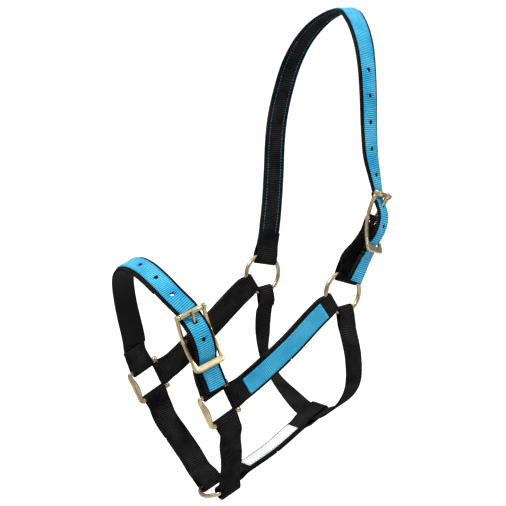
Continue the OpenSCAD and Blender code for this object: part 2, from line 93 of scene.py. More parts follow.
POLL_TO_RING, RING_FORWARD, RING_SPREAD = 274.0, 52.0, 148.0
SQUARE_SPREAD, RING_TO_SQUARE, SQUARE_DROP = 139.0, 140.0, 98.0
NOSE_ARCH, CHIN_DROP, CHIN_BACK, THROAT_DROP = 149.0, 99.0, 41.0, 136.0
RING_D, RING_WIRE = 35.0, 4.5
SQUARE_IN, SQUARE_BAR = 27.5, 5.0

ROLLER_RISE, END_DROP, END_BAR, ARM_W, PLATE_T, BOW = 25.0, 29.0, 6.5, 3.8, 3.2, 5.5
CENTRE_BAR, ROLLER_D, ROLLER_PIN, TONGUE_D, HUMP = 4.0, 5.6, 3.0, 2.8, 9.6
TONGUE_PLAY = 4.0

SLACK, PLY_GAP, RUNNING, RING_EASE = 0.3, 0.12, 0.08, 0.7
SQUARE_TILT, NOSE_TILT, CHIN_TILT, JAW_RISE = 27.0, 24.0, 25.0, 31.0
CROWN_FAR_ANGLE, CROWN_NEAR_ANGLE, CHEEK_ANGLE, THROAT_ANGLE = 79.0, 73.0, 213.0, 279.0
CHEEK_NECK, THROAT_NECK = 0.76, 0.8

HALF_PLY = (WEB_T + PLY_GAP) / 2
RING_R = (RING_D + RING_WIRE) / 2
WRAP_RING = RING_WIRE / 2 + SLACK + WEB_T / 2
WRAP_SQUARE = SQUARE_BAR / 2 + SLACK + WEB_T / 2
WRAP_BAR = CENTRE_BAR / 2 + SLACK + WEB_T / 2
SQUARE_R = (SQUARE_IN + SQUARE_BAR) / 2
FRAME_W = WEB_W + 2 + 2 * ARM_W
ROLLER_N = BOW + 0.5
END_N = BOW - 0.5
STRAP_UNDER_ROLLER = ROLLER_N - ROLLER_D / 2 - 2 * SLACK - OVERLAY_T - PLY_GAP - WEB_T / 2
STRAP_UNDER_END = END_N - PLATE_T / 2 - 4 * SLACK - OVERLAY_T - PLY_GAP - WEB_T / 2
OVERLAY_LIFT = WEB_T / 2 + PLY_GAP + OVERLAY_T / 2

RIB_PITCH, RIB_HEIGHT = 2.1, 0.42
OVERLAY_RIB, OVERLAY_RIB_HEIGHT = 2.0, 0.34
SELVEDGE = 1.3
STITCH_PITCH, STITCH_LENGTH, THREAD_D = 3.2, 2.3, 0.55
OVERLAY_SEAM = OVERLAY_W / 2 - 1.3
STITCH_HALF = WEB_W / 2 - 2.5

NEAR_RING = Vector((RING_SPREAD / 2, -RING_FORWARD, -POLL_TO_RING))
FAR_RING = Vector((-NEAR_RING.x, NEAR_RING.y, NEAR_RING.z))
NEAR_SQUARE = Vector((SQUARE_SPREAD / 2, -RING_FORWARD - RING_TO_SQUARE, -POLL_TO_RING - SQUARE_DROP))
FAR_SQUARE = Vector((-NEAR_SQUARE.x, NEAR_SQUARE.y, NEAR_SQUARE.z))
CHIN_CENTRE = Vector((0, NEAR_SQUARE.y + CHIN_BACK, NEAR_SQUARE.z - CHIN_DROP))
THROAT_LOW = Vector((0, NEAR_RING.y + 14.5, NEAR_RING.z - THROAT_DROP))
X, Y, Z = Vector((1, 0, 0)), Vector((0, 1, 0)), Vector((0, 0, 1))


def in_yz(degrees):
    a = math.radians(degrees)
    return Vector((0, math.cos(a), math.sin(a)))


def seat(origin, yaw, lean, tilt):
    """A buckle's place: X outwards, Y across the strap, Z towards the roller."""
    turn = Matrix.Rotation(math.radians(yaw), 4, "Z") @ Matrix.Rotation(
        -math.radians(lean), 4, "X") @ Matrix.Rotation(math.radians(tilt), 4, "Y")
    return Matrix.Translation(origin) @ turn


CROWN_SEAT = seat(NEAR_RING + Vector((18, 24, 73)), 32, 13, 3)
NOSE_SEAT = seat(
    NEAR_SQUARE + 2.5 * X + in_yz(NOSE_TILT) * 5 + in_yz(NOSE_TILT + 90) * 74.5, 0, -NOSE_TILT + 4.5, -7)

# ---------------------------------------------------------------- routes of the straps


class Row:
    """One place along a strap: its middle, the direction across it, and its width."""

    __slots__ = ("at", "across", "width")

    def __init__(self, at, across, width):
        self.at, self.across, self.width = Vector(at), Vector(across), width

    def mix(self, other, t):
        return Row(
            self.at.lerp(other.at, t), self.across.lerp(other.across, t),
            self.width + (other.width - self.width) * t)


def spot(a, b, c, d, t):
    w = (
        -0.5 * t + t * t - 0.5 * t**3, 1 - 2.5 * t * t + 1.5 * t**3, 0.5 * t + 2 * t * t - 1.5 * t**3,
        -0.5 * t * t + 0.5 * t**3)
    rows = (a, b, c, d)
    at, across = Vector(), Vector()
    for r, k in zip(rows, w):
        at += r.at * k
        across += r.across * k
    return Row(at, across, sum(r.width * k for r, k in zip(rows, w)))


def route(start, leave, middle, end, arrive, steps=24):
    """A smooth curve from start to end through the middle rows, with its direction set at both ends."""
    first = Row(start.at - leave * (middle[0].at - start.at).length, start.across, start.width)
    last = Row(end.at + arrive * (middle[-1].at - end.at).length, end.across, end.width)
    rows = [first, start, *middle, end, last]
    out = [spot(*rows[i - 1 : i + 3], k / steps) for i in range(1, len(rows) - 2) for k in range(steps)]
    return out + [end]


def tangents(rows):
    last = len(rows) - 1
    return [(rows[min(i + 1, last)].at - rows[max(i - 1, 0)].at).normalized() for i in range(last + 1)]


def frames(rows):
    """Across and outward directions of each row, square to the route."""
    out = []
    for row, t in zip(rows, tangents(rows)):
        across = (row.across - t * row.across.dot(t)).normalized()
        out.append((across, t.cross(across)))
    return out


def lift(rows, h):
    return [Row(r.at + f[1] * h, r.across, r.width) for r, f in zip(rows, frames(rows))]


def lengths(rows):
    out = [0.0]
    for a, b in zip(rows, rows[1:]):
        out.append(out[-1] + (b.at - a.at).length)
    return out


def resample(rows, start, end, pitch):
    """Rows at an even pitch between two lengths along the route."""
    s = lengths(rows)
    end = min(end, s[-1])
    n = max(1, round((end - start) / pitch))
    out, i = [], 0
    for k in range(n + 1):
        want = start + (end - start) * k / n
        while i < len(rows) - 2 and s[i + 1] < want:
            i += 1
        span = s[i + 1] - s[i]
        out.append(rows[i].mix(rows[i + 1], (want - s[i]) / span if span > 1e-9 else 0))
    return out


def of_width(rows, width):
    return [Row(r.at, r.across, width) for r in rows]


def ease(t):
    t = min(max(t, 0), 1)
    return t * t * (3 - 2 * t)


def fold(bar, leave, side, across, wrap, flat, reach, narrow, wide, tail=0):
    """Webbing folded round a bar: in along leave on one side, round it, and out on the other."""
    n = 24

    def rise(k, sign):
        s = reach * k / n
        off = wrap + (HALF_PLY - wrap) * ease((s - flat) / (reach - flat))
        return Row(bar + leave * s + side * off * sign, across, narrow + (wide - narrow) * ease(s / reach))

    rows = [rise(k, 1) for k in range(n, -1, -1)]
    for degrees in range(10, 180, 10):
        a = math.radians(degrees)
        rows.append(Row(bar + (side * math.cos(a) - leave * math.sin(a)) * wrap, across, narrow))
    rows += [rise(k, -1) for k in range(n + 1)]
    if tail > reach:
        rows.append(Row(bar + leave * tail - side * HALF_PLY, across, wide))
    return rows


def ring_fold(centre, out, side, across, narrow, wide, tail=0, close=13):
    inner = math.sqrt(RING_R**2 - narrow**2 / 4) - RING_EASE
    return fold(
        centre + out * inner, out, side, across, WRAP_RING, RING_R - inner, RING_R - inner + close, narrow,
        wide, tail)


def middle_of(rows):
    return rows[0].mix(rows[-1], 0.5)


def link(start, leave, end, arrive, bulge=Vector()):
    gap = (end.at - start.at).length * 0.3
    a = Row(start.at + leave.normalized() * gap, start.across, start.width)
    b = Row(end.at - arrive.normalized() * gap, end.across, end.width)
    centre = a.mix(b, 0.5)
    centre.at += bulge
    return route(start, leave.normalized(), [centre], end, arrive.normalized())


def band(first, middle, last, meet):
    """A strap folded at both ends, whose own ends meet on its outer side."""
    outer, inner = lift(middle, HALF_PLY), lift(middle, -HALF_PLY)
    m = round(meet * (len(middle) - 1))
    t = tangents(outer)[m] * 0.4
    near_end = Row(outer[m].at - t, outer[m].across, outer[m].width)
    far_end = Row(outer[m].at + t, outer[m].across, outer[m].width)
    return [
        near_end, *outer[m - 1 : 0 : -1], *first, *inner[1:-1], *last, *outer[len(outer) - 2 : m : -1],
        far_end]


def mirrored(rows):
    """The same strap on the far side; its order turns round so that its outer face stays outside."""
    flip = Vector((-1, 1, 1))
    return [Row(r.at * flip, r.across * flip, r.width) for r in reversed(rows)]


def in_buckle(place, outwards, up, width=WEB_W):
    return Row(place @ Vector((outwards, 0, up)), place.to_3x3() @ Y, width)


BUCKLE_ROUTE = (
    (STRAP_UNDER_ROLLER - 0.4, ROLLER_RISE + 2.5),
    (STRAP_UNDER_ROLLER, ROLLER_RISE - 2.5),
    (HUMP * 0.55, ROLLER_RISE * 0.55),
    (HUMP * 0.9, ROLLER_RISE * 0.28),
    (HUMP, 0),
    (HUMP * 0.88, -END_DROP * 0.31),
    (HUMP * 0.5, -END_DROP * 0.64),
    (STRAP_UNDER_END + 0.3, -END_DROP + 4),
    (STRAP_UNDER_END - 0.3, -END_DROP - 2),
)

# ---------------------------------------------------------------- shader groups


def new_group(name, inputs, outputs):
    tree = bpy.data.node_groups.new(name, "ShaderNodeTree")
    for label, kind, value in inputs:
        s = tree.interface.new_socket(label, in_out="INPUT", socket_type=kind)
        if value is not None:
            s.default_value = value
    for label, kind in outputs:
        tree.interface.new_socket(label, in_out="OUTPUT", socket_type=kind)
    return tree, tree.nodes.new("NodeGroupInput"), tree.nodes.new("NodeGroupOutput")


def maths(tree, operation, a, b=None, clamp=False):
    n = tree.nodes.new("ShaderNodeMath")
    n.operation = operation
    n.use_clamp = clamp
    for slot, v in enumerate((a, b)):
        if v is None:
            continue
        if isinstance(v, (int, float)):
            n.inputs[slot].default_value = v
        else:
            tree.links.new(v, n.inputs[slot])
    return n.outputs[0]


def ripple(tree, value):
    """A row of rounded ridges, one for each unit of the value."""
    return maths(tree, "ABSOLUTE", maths(tree, "SINE", maths(tree, "MULTIPLY", value, math.pi)))


def noise(tree, vector, scale, detail=3.0, roughness=0.5):
    n = tree.nodes.new("ShaderNodeTexNoise")
    n.inputs["Detail"].default_value = detail
    n.inputs["Roughness"].default_value = roughness
    tree.links.new(vector, n.inputs["Vector"])
    if isinstance(scale, (int, float)):
        n.inputs["Scale"].default_value = scale
    else:
        tree.links.new(scale, n.inputs["Scale"])
    return n.outputs["Fac"]


def spread(tree, value, low, high, to_low=0.0, to_high=1.0):
    n = tree.nodes.new("ShaderNodeMapRange")
    n.clamp = True
    tree.links.new(value, n.inputs["Value"])
    for label, v in (("From Min", low), ("From Max", high), ("To Min", to_low), ("To Max", to_high)):
        n.inputs[label].default_value = v
    return n.outputs["Result"]


def blend(tree, fac, a, b, mode="MIX"):
    n = tree.nodes.new("ShaderNodeMix")
    n.data_type = "RGBA"
    n.blend_type = mode
    for index, v in ((0, fac), (6, a), (7, b)):
        if isinstance(v, (int, float)):
            n.inputs[index].default_value = v
        elif isinstance(v, tuple):
            n.inputs[index].default_value = (*v, 1)
        else:
            tree.links.new(v, n.inputs[index])
    return n.outputs[2]


def yarn_weave_and_light():
    """Warp yarns that run along a strap, over its ribs: a height for bumps, and a mask of painted light that
    is bright on the rib crests and leaves painted shade in the valleys. Strap coordinates are metres along
    and across.
    """
    tree, i, o = new_group(
        "Yarn weave and crest light",
        [
            ("Strap", "NodeSocketVector", None), ("Rib Pitch", "NodeSocketFloat", 0.0015),
            ("Yarn Pitch", "NodeSocketFloat", 0.0007)],
        [("Height", "NodeSocketFloat"), ("Crest", "NodeSocketFloat")],
    )
    split = tree.nodes.new("ShaderNodeSeparateXYZ")
    tree.links.new(i.outputs["Strap"], split.inputs[0])
    ribs = maths(tree, "DIVIDE", split.outputs["X"], i.outputs["Rib Pitch"])
    yarns = maths(tree, "DIVIDE", split.outputs["Y"], i.outputs["Yarn Pitch"])
    # every second yarn is half a rib further along, as in a plain weave
    step = maths(tree, "MULTIPLY", maths(tree, "MODULO", maths(tree, "FLOOR", yarns), 2.0), 0.5)
    over = ripple(tree, maths(tree, "ADD", ribs, step))
    round_yarn = ripple(tree, yarns)
    height = maths(tree, "MULTIPLY", maths(tree, "POWER", over, 0.6), maths(tree, "POWER", round_yarn, 0.5))
    tree.links.new(height, o.inputs["Height"])
    # painted light: bright along each rib crest and over the round of each yarn, with painted shade in the
    # valleys between them
    rib_line = ripple(tree, ribs)
    yarn_share = maths(tree, "ADD", maths(tree, "MULTIPLY", maths(tree, "POWER", round_yarn, 0.6), 0.3), 0.7)
    # bundles of yarns take turns to stand proud, two ribs at a time, and the standing bundles get more
    # painted highlight on their crests
    fifths = maths(tree, "FLOOR", maths(tree, "MULTIPLY", yarns, 0.2))
    bundle = maths(tree, "MULTIPLY", maths(tree, "MODULO", fifths, 2.0), 0.5)
    pair = ripple(tree, maths(tree, "ADD", maths(tree, "MULTIPLY", ribs, 0.5), bundle))
    pair_share = maths(tree, "ADD", maths(tree, "MULTIPLY", pair, 0.34), 0.66)
    crest_light = maths(tree, "MULTIPLY", maths(tree, "POWER", rib_line, 2.0), yarn_share)
    tree.links.new(maths(tree, "MULTIPLY", crest_light, pair_share), o.inputs["Crest"])
    return tree


def seam_groove():
    """The furrow that a sewn line pulls into a strap, at an equal distance either side of its middle."""
    tree, i, o = new_group(
        "Seam groove",
        [
            ("Strap", "NodeSocketVector", None), ("Distance", "NodeSocketFloat", 0.0077),
            ("Width", "NodeSocketFloat", 0.0006)],
        [("Depth", "NodeSocketFloat")],
    )
    split = tree.nodes.new("ShaderNodeSeparateXYZ")
    tree.links.new(i.outputs["Strap"], split.inputs[0])
    off = maths(
        tree, "ABSOLUTE",
        maths(tree, "SUBTRACT", maths(tree, "ABSOLUTE", split.outputs["Y"]), i.outputs["Distance"]))
    tree.links.new(
        maths(tree, "SUBTRACT", 1.0, maths(tree, "DIVIDE", off, i.outputs["Width"]), clamp=True),
        o.inputs["Depth"])
    return tree


def handling_wear():
    """Soft blotches and fine scratches left by handling."""
    tree, i, o = new_group(
        "Handling wear",
        [
            ("Vector", "NodeSocketVector", None), ("Blotch Scale", "NodeSocketFloat", 60.0),
            ("Scratch Scale", "NodeSocketFloat", 900.0)],
        [("Blotches", "NodeSocketFloat"), ("Scratches", "NodeSocketFloat")],
    )
    blotch = noise(tree, i.outputs["Vector"], i.outputs["Blotch Scale"], 4.0, 0.6)
    tree.links.new(spread(tree, blotch, 0.35, 0.68), o.inputs["Blotches"])
    stretched = tree.nodes.new("ShaderNodeVectorMath")
    stretched.operation = "MULTIPLY"
    stretched.inputs[1].default_value = (1.0, 0.12, 0.35)
    tree.links.new(i.outputs["Vector"], stretched.inputs[0])
    scratch = noise(tree, stretched.outputs[0], i.outputs["Scratch Scale"], 6.0, 0.7)
    tree.links.new(spread(tree, scratch, 0.56, 0.72), o.inputs["Scratches"])
    return tree


WEAVE_AND_LIGHT, WEAR, GROOVE = yarn_weave_and_light(), handling_wear(), seam_groove()


class Finish:
    """A material being made: its Principled shader, its coordinates and the shared groups in it."""

    def __init__(self, name, **constants):
        self.material = bpy.data.materials.new(name)
        self.material.use_nodes = True
        self.tree = self.material.node_tree
        self.shader = self.tree.nodes["Principled BSDF"]
        for label, value in constants.items():
            self.shader.inputs[label.replace("_", " ").title().replace("Ior", "IOR")].default_value = value
        self.object = self.tree.nodes.new("ShaderNodeTexCoord").outputs["Object"]

    def group(self, tree, **values):
        n = self.tree.nodes.new("ShaderNodeGroup")
        n.node_tree = tree
        for label, value in values.items():
            socket = n.inputs[label.replace("_", " ")]
            if isinstance(value, (int, float)):
                socket.default_value = value
            else:
                self.tree.links.new(value, socket)
        return n.outputs

    def strap(self):
        uv = self.tree.nodes.new("ShaderNodeUVMap")
        uv.uv_map = "strap"
        return uv.outputs["UV"]

    def set(self, label, value):
        self.tree.links.new(value, self.shader.inputs[label])

    def bump(self, *layers):
        normal = None
        for height, distance, strength in layers:
            n = self.tree.nodes.new("ShaderNodeBump")
            n.inputs["Distance"].default_value = distance
            n.inputs["Strength"].default_value = strength
            self.tree.links.new(height, n.inputs["Height"])
            if normal is not None:
                self.tree.links.new(normal, n.inputs["Normal"])
            normal = n.outputs["Normal"]
        self.set("Normal", normal)


def webbing_finish(name, painted_shade, base, pale, rib, yarn, rough, sheen, gloss, seam):
    f = Finish(
        name, sheen_weight=sheen, sheen_roughness=0.45, sheen_tint=(*pale, 1), specular_ior_level=gloss)
    strap = f.strap()
    weave = f.group(WEAVE_AND_LIGHT, Strap=strap, Rib_Pitch=rib * MM, Yarn_Pitch=yarn * MM)
    wear = f.group(WEAR, Vector=f.object, Blotch_Scale=45.0, Scratch_Scale=700.0)
    groove = f.group(GROOVE, Strap=strap, Distance=seam * MM, Width=0.7 * MM)
    fibres = noise(f.tree, strap, 5200.0, 2.0)
    # rib crests take the base colour, lightened towards pale by wear blotches, and the valleys between ribs
    # the dark colour: painted highlight on the crests and painted shade in the valleys
    crest_light = blend(f.tree, wear["Blotches"], base, pale)
    colour = blend(f.tree, weave["Crest"], painted_shade, crest_light)
    colour = blend(f.tree, maths(f.tree, "MULTIPLY", spread(f.tree, fibres, 0.5, 0.8), 0.2), colour, pale)
    # seam furrows are darkened towards the dark colour: painted shade in the furrows
    f.set("Base Color", blend(f.tree, maths(f.tree, "MULTIPLY", groove["Depth"], 0.45), colour, painted_shade))
    f.set("Roughness", spread(f.tree, wear["Scratches"], 0, 1, rough, rough - 0.12))
    f.bump(
        (weave["Height"], 0.00022, 0.8), (fibres, 0.00005, 0.3),
        (maths(f.tree, "SUBTRACT", 1.0, groove["Depth"]), 0.0003, 0.6))
    return f.material


def lining_finish():
    f = Finish("Brushed lining", sheen_weight=0.02, sheen_roughness=0.6, specular_ior_level=0.06)
    wear = f.group(WEAR, Vector=f.object, Blotch_Scale=80.0, Scratch_Scale=1600.0)
    pile = noise(f.tree, f.object, 2600.0, 5.0, 0.65)
    colour = blend(f.tree, spread(f.tree, pile, 0.35, 0.7), (0.0015, 0.0015, 0.0017), (0.005, 0.005, 0.0056))
    f.set(
        "Base Color",
        blend(f.tree, maths(f.tree, "MULTIPLY", wear["Blotches"], 0.4), colour, (0.007, 0.007, 0.008)))
    f.set("Roughness", spread(f.tree, pile, 0.3, 0.7, 0.82, 0.95))
    f.bump((pile, 0.00025, 0.6))
    return f.material


def brass_finish(name, deep, base, bright, rough):
    f = Finish(name, metallic=1.0, coat_weight=0.05, coat_roughness=0.2)
    wear = f.group(WEAR, Vector=f.object, Blotch_Scale=85.0, Scratch_Scale=1300.0)
    cast = noise(f.tree, f.object, 420.0, 4.0)
    colour = blend(f.tree, wear["Blotches"], base, deep)
    f.set("Base Color", blend(f.tree, maths(f.tree, "MULTIPLY", wear["Scratches"], 0.6), colour, bright))
    rough_map = maths(
        f.tree, "ADD", spread(f.tree, wear["Blotches"], 0, 1, rough, rough + 0.12),
        maths(f.tree, "MULTIPLY", wear["Scratches"], 0.08))
    f.set("Roughness", rough_map)
    f.bump((cast, 0.0003, 0.18), (wear["Scratches"], 0.00003, 0.35))
    return f.material


def thread_finish(name, base, pale):
    f = Finish(name, sheen_weight=0.02, sheen_roughness=0.4, specular_ior_level=0.1)
    twist = noise(f.tree, f.object, 3800.0, 2.0)
    wear = f.group(WEAR, Vector=f.object, Blotch_Scale=70.0, Scratch_Scale=900.0)
    colour = blend(f.tree, spread(f.tree, twist, 0.4, 0.65), base, pale)
    f.set("Base Color", blend(f.tree, maths(f.tree, "MULTIPLY", wear["Blotches"], 0.3), colour, base))
    f.set("Roughness", spread(f.tree, twist, 0.3, 0.7, 0.45, 0.65))
    f.bump((twist, 0.0001, 0.5))
    return f.material


def label_finish():
    f = Finish("Woven label", sheen_weight=0.15, sheen_roughness=0.5)
    strap = f.strap()
    weave = f.group(WEAVE_AND_LIGHT, Strap=strap, Rib_Pitch=0.5 * MM, Yarn_Pitch=0.4 * MM)
    wear = f.group(WEAR, Vector=f.object, Blotch_Scale=60.0, Scratch_Scale=600.0)
    colour = blend(f.tree, wear["Blotches"], (0.92, 0.92, 0.90), (0.82, 0.83, 0.83))
    # weave valleys are greyer than the white crests: painted shade in the valleys
    f.set("Base Color", blend(f.tree, weave["Crest"], (0.62, 0.63, 0.64), colour))
    f.set("Roughness", spread(f.tree, wear["Scratches"], 0, 1, 0.62, 0.5))
    f.bump((weave["Height"], 0.00005, 0.5))
    return f.material


# webbing colours: the first is painted shade for rib valleys and seam furrows, the second the strap's own
# colour, and the third, pale, the painted highlight on rib crests, also used for the sheen tint and fibre
# flecks
BLACK = webbing_finish(
    "Black nylon webbing", (0.0003, 0.0003, 0.0003), (0.0075, 0.0073, 0.0075), (0.034, 0.0325, 0.0318),
    RIB_PITCH, 0.8, 0.55, 0.002, 0.012, STITCH_HALF)
BLUE = webbing_finish(
    "Blue nylon overlay", (0.0005, 0.075, 0.20), (0.010, 0.42, 0.68), (0.13, 0.70, 0.92), OVERLAY_RIB, 0.7,
    0.5, 0.02, 0.15, OVERLAY_SEAM)
LINING = lining_finish()
BRASS = brass_finish("Pale brass", (0.28, 0.215, 0.11), (0.52, 0.42, 0.255), (0.72, 0.605, 0.42), 0.24)
BRASS_RING = brass_finish(
    "Drawn brass wire", (0.26, 0.205, 0.11), (0.50, 0.41, 0.255), (0.70, 0.60, 0.43), 0.18)
BLACK_THREAD = thread_finish("Black thread", (0.001, 0.001, 0.0012), (0.006, 0.006, 0.0065))
BLUE_THREAD = thread_finish("Blue thread", (0.012, 0.33, 0.60), (0.06, 0.50, 0.78))
LABEL = label_finish()

# ---------------------------------------------------------------- geometry node trees


def geometry_tree(name, inputs):
    tree = bpy.data.node_groups.new(name, "GeometryNodeTree")
    tree.interface.new_socket("Geometry", in_out="INPUT", socket_type="NodeSocketGeometry")
    for label, kind, value in inputs:
        s = tree.interface.new_socket(label, in_out="INPUT", socket_type=kind)
        if value is not None:
            s.default_value = value
    tree.interface.new_socket("Geometry", in_out="OUTPUT", socket_type="NodeSocketGeometry")
    return tree, tree.nodes.new("NodeGroupInput"), tree.nodes.new("NodeGroupOutput")


def attribute(tree, name, kind):
    n = tree.nodes.new("GeometryNodeInputNamedAttribute")
    n.data_type = kind
    n.inputs["Name"].default_value = name
    return n.outputs["Attribute"]


def scaled(tree, vector, factor):
    n = tree.nodes.new("ShaderNodeVectorMath")
    n.operation = "SCALE"
    tree.links.new(vector, n.inputs[0])
    tree.links.new(factor, n.inputs["Scale"])
    return n.outputs[0]


def close_tree(tree, geometry, i, o):
    realize = tree.nodes.new("GeometryNodeRealizeInstances")
    smooth = tree.nodes.new("GeometryNodeSetShadeSmooth")
    finish = tree.nodes.new("GeometryNodeSetMaterial")
    tree.links.new(geometry, realize.inputs[0])
    tree.links.new(realize.outputs[0], smooth.inputs["Geometry"])
    tree.links.new(smooth.outputs[0], finish.inputs["Geometry"])
    tree.links.new(i.outputs["Material"], finish.inputs["Material"])
    tree.links.new(finish.outputs[0], o.inputs[0])


def ribbed_webbing_tree():
    """Raises the weft ribs of a strap and punches a bore at each point of the Holes object."""
    tree, i, o = geometry_tree(
        "Ribbed webbing",
        [
            ("Rib Pitch", "NodeSocketFloat", 0.0015),
            ("Rib Height", "NodeSocketFloat", 0.0002),
            ("Punched", "NodeSocketBool", False),
            ("Holes", "NodeSocketObject", None),
            ("Material", "NodeSocketMaterial", None),
        ],
    )
    turns = maths(tree, "DIVIDE", attribute(tree, "along", "FLOAT"), i.outputs["Rib Pitch"])
    rib = ripple(tree, turns)
    height = maths(tree, "MULTIPLY", maths(tree, "POWER", rib, 0.7), i.outputs["Rib Height"])
    height = maths(
        tree, "MULTIPLY", maths(tree, "SUBTRACT", height, i.outputs["Rib Height"]),
        attribute(tree, "ribbed", "FLOAT"))
    move = tree.nodes.new("GeometryNodeSetPosition")
    tree.links.new(i.outputs["Geometry"], move.inputs["Geometry"])
    tree.links.new(
        scaled(tree, tree.nodes.new("GeometryNodeInputNormal").outputs[0], height), move.inputs["Offset"])

    where = tree.nodes.new("GeometryNodeObjectInfo")
    where.transform_space = "RELATIVE"
    tree.links.new(i.outputs["Holes"], where.inputs["Object"])
    bore = tree.nodes.new("GeometryNodeMeshCylinder")
    bore.inputs["Vertices"].default_value = 28
    bore.inputs["Radius"].default_value = 1.0
    bore.inputs["Depth"].default_value = 1.0
    turn = tree.nodes.new("FunctionNodeAlignRotationToVector")
    turn.axis = "Z"
    tree.links.new(attribute(tree, "axis", "FLOAT_VECTOR"), turn.inputs["Vector"])
    place = tree.nodes.new("GeometryNodeInstanceOnPoints")
    tree.links.new(where.outputs["Geometry"], place.inputs["Points"])
    tree.links.new(bore.outputs["Mesh"], place.inputs["Instance"])
    tree.links.new(turn.outputs[0], place.inputs["Rotation"])
    tree.links.new(attribute(tree, "bore", "FLOAT_VECTOR"), place.inputs["Scale"])
    bores = tree.nodes.new("GeometryNodeRealizeInstances")
    tree.links.new(place.outputs[0], bores.inputs[0])
    cut = tree.nodes.new("GeometryNodeMeshBoolean")
    cut.operation = "DIFFERENCE"
    cut.solver = "MANIFOLD"
    tree.links.new(move.outputs[0], cut.inputs["Mesh 1"])
    tree.links.new(bores.outputs[0], cut.inputs["Mesh 2"])
    pick = tree.nodes.new("GeometryNodeSwitch")
    pick.input_type = "GEOMETRY"
    tree.links.new(i.outputs["Punched"], pick.inputs["Switch"])
    tree.links.new(move.outputs[0], pick.inputs["False"])
    tree.links.new(cut.outputs["Mesh"], pick.inputs["True"])
    close_tree(tree, pick.outputs[0], i, o)
    return tree


def stitch_tree():
    """Lays a stitch at every pitch along each line, half sunk into the face it lies on."""
    tree, i, o = geometry_tree(
        "Row of stitches",
        [
            ("Pitch", "NodeSocketFloat", 0.0032),
            ("Length", "NodeSocketFloat", 0.0023),
            ("Thickness", "NodeSocketFloat", 0.0006),
            ("Material", "NodeSocketMaterial", None),
        ],
    )
    line = tree.nodes.new("GeometryNodeMeshToCurve")
    spaced = tree.nodes.new("GeometryNodeResampleCurve")
    spaced.mode = "LENGTH"
    tree.links.new(i.outputs["Geometry"], line.inputs["Mesh"])
    tree.links.new(line.outputs[0], spaced.inputs["Curve"])
    tree.links.new(i.outputs["Pitch"], spaced.inputs["Length"])
    bead = tree.nodes.new("GeometryNodeMeshUVSphere")
    bead.inputs["Segments"].default_value = 8
    bead.inputs["Rings"].default_value = 5
    bead.inputs["Radius"].default_value = 0.5
    size = tree.nodes.new("ShaderNodeCombineXYZ")
    for axis, label in (("X", "Length"), ("Y", "Thickness"), ("Z", "Thickness")):
        tree.links.new(i.outputs[label], size.inputs[axis])
    turn = tree.nodes.new("FunctionNodeAxesToRotation")
    turn.primary_axis = "X"
    turn.secondary_axis = "Z"
    tree.links.new(tree.nodes.new("GeometryNodeInputTangent").outputs[0], turn.inputs["Primary Axis"])
    tree.links.new(attribute(tree, "facing", "FLOAT_VECTOR"), turn.inputs["Secondary Axis"])
    place = tree.nodes.new("GeometryNodeInstanceOnPoints")
    tree.links.new(spaced.outputs[0], place.inputs["Points"])
    tree.links.new(bead.outputs["Mesh"], place.inputs["Instance"])
    tree.links.new(turn.outputs[0], place.inputs["Rotation"])
    tree.links.new(size.outputs[0], place.inputs["Scale"])
    close_tree(tree, place.outputs[0], i, o)
    return tree


WEBBING_TREE, STITCH_TREE = ribbed_webbing_tree(), stitch_tree()


def grown(source, name, tree, **values):
    """Runs a tree on an object and returns its result as a plain mesh object; the source goes."""
    modifier = source.modifiers.new("grow", "NODES")
    modifier.node_group = tree
    for item in tree.interface.items_tree:
        if item.item_type == "SOCKET" and item.in_out == "INPUT" and item.name.replace(" ", "_") in values:
            modifier[item.identifier] = values[item.name.replace(" ", "_")]
    bpy.context.view_layer.update()
    mesh = bpy.data.meshes.new_from_object(source.evaluated_get(bpy.context.evaluated_depsgraph_get()))
    mesh.name = name
    source.modifiers.remove(modifier)
    bpy.data.objects.remove(source)
    one_material(mesh, values["Material"])
    return new_object(name, mesh)


def one_material(mesh, finish):
    mesh.materials.clear()
    mesh.materials.append(finish)
    mesh.polygons.foreach_set("material_index", [0] * len(mesh.polygons))


def new_object(name, mesh):
    o = bpy.data.objects.new(name, mesh)
    bpy.context.scene.collection.objects.link(o)
    return o


def mesh_of(name, points, faces=(), edges=()):
    mesh = bpy.data.meshes.new(name)
    mesh.from_pydata([p * MM for p in points], list(edges), list(faces))
    mesh.update()
    return mesh


def point_attribute(mesh, name, kind, values):
    a = mesh.attributes.new(name, kind, "POINT")
    if kind == "FLOAT":
        a.data.foreach_set("value", values)
    else:
        a.data.foreach_set("vector", [c for v in values for c in v])


# ---------------------------------------------------------------- straps


def section(width, thick):
    """Outline of a strap: across, outwards, ribbed share. Its edges are rounded, with shallower ribs."""
    a, h = width / 2, thick / 2
    e = min(h, 0.9)
    flat = (-(a - e), -(a - SELVEDGE), 0.0, a - SELVEDGE, a - e)
    ribbed = (0.7, 1, 1, 1, 0.7)
    top = [(x, h, k) for x, k in zip(flat, ribbed)]
    right = [(a - e * 0.3, h * 0.7, 0.6), (a, 0, 0.6), (a - e * 0.3, -h * 0.7, 0.6)]
    bottom = [(-x, -h, k) for x, k in zip(flat, ribbed)]
    left = [(-x, -y, k) for x, y, k in right]
    return top + right + bottom + left


def sweep_faces(n, count, closed=False):
    """Faces between rings of n points, with a cap at each end unless the sweep is closed."""
    faces = []
    for i in range(count if closed else count - 1):
        a, b = i * n, (i + 1) % count * n
        faces += [(a + k, a + (k + 1) % n, b + (k + 1) % n, b + k) for k in range(n)]
    if not closed:
        faces += [tuple(range(n - 1, -1, -1)), tuple((count - 1) * n + k for k in range(n))]
    return faces


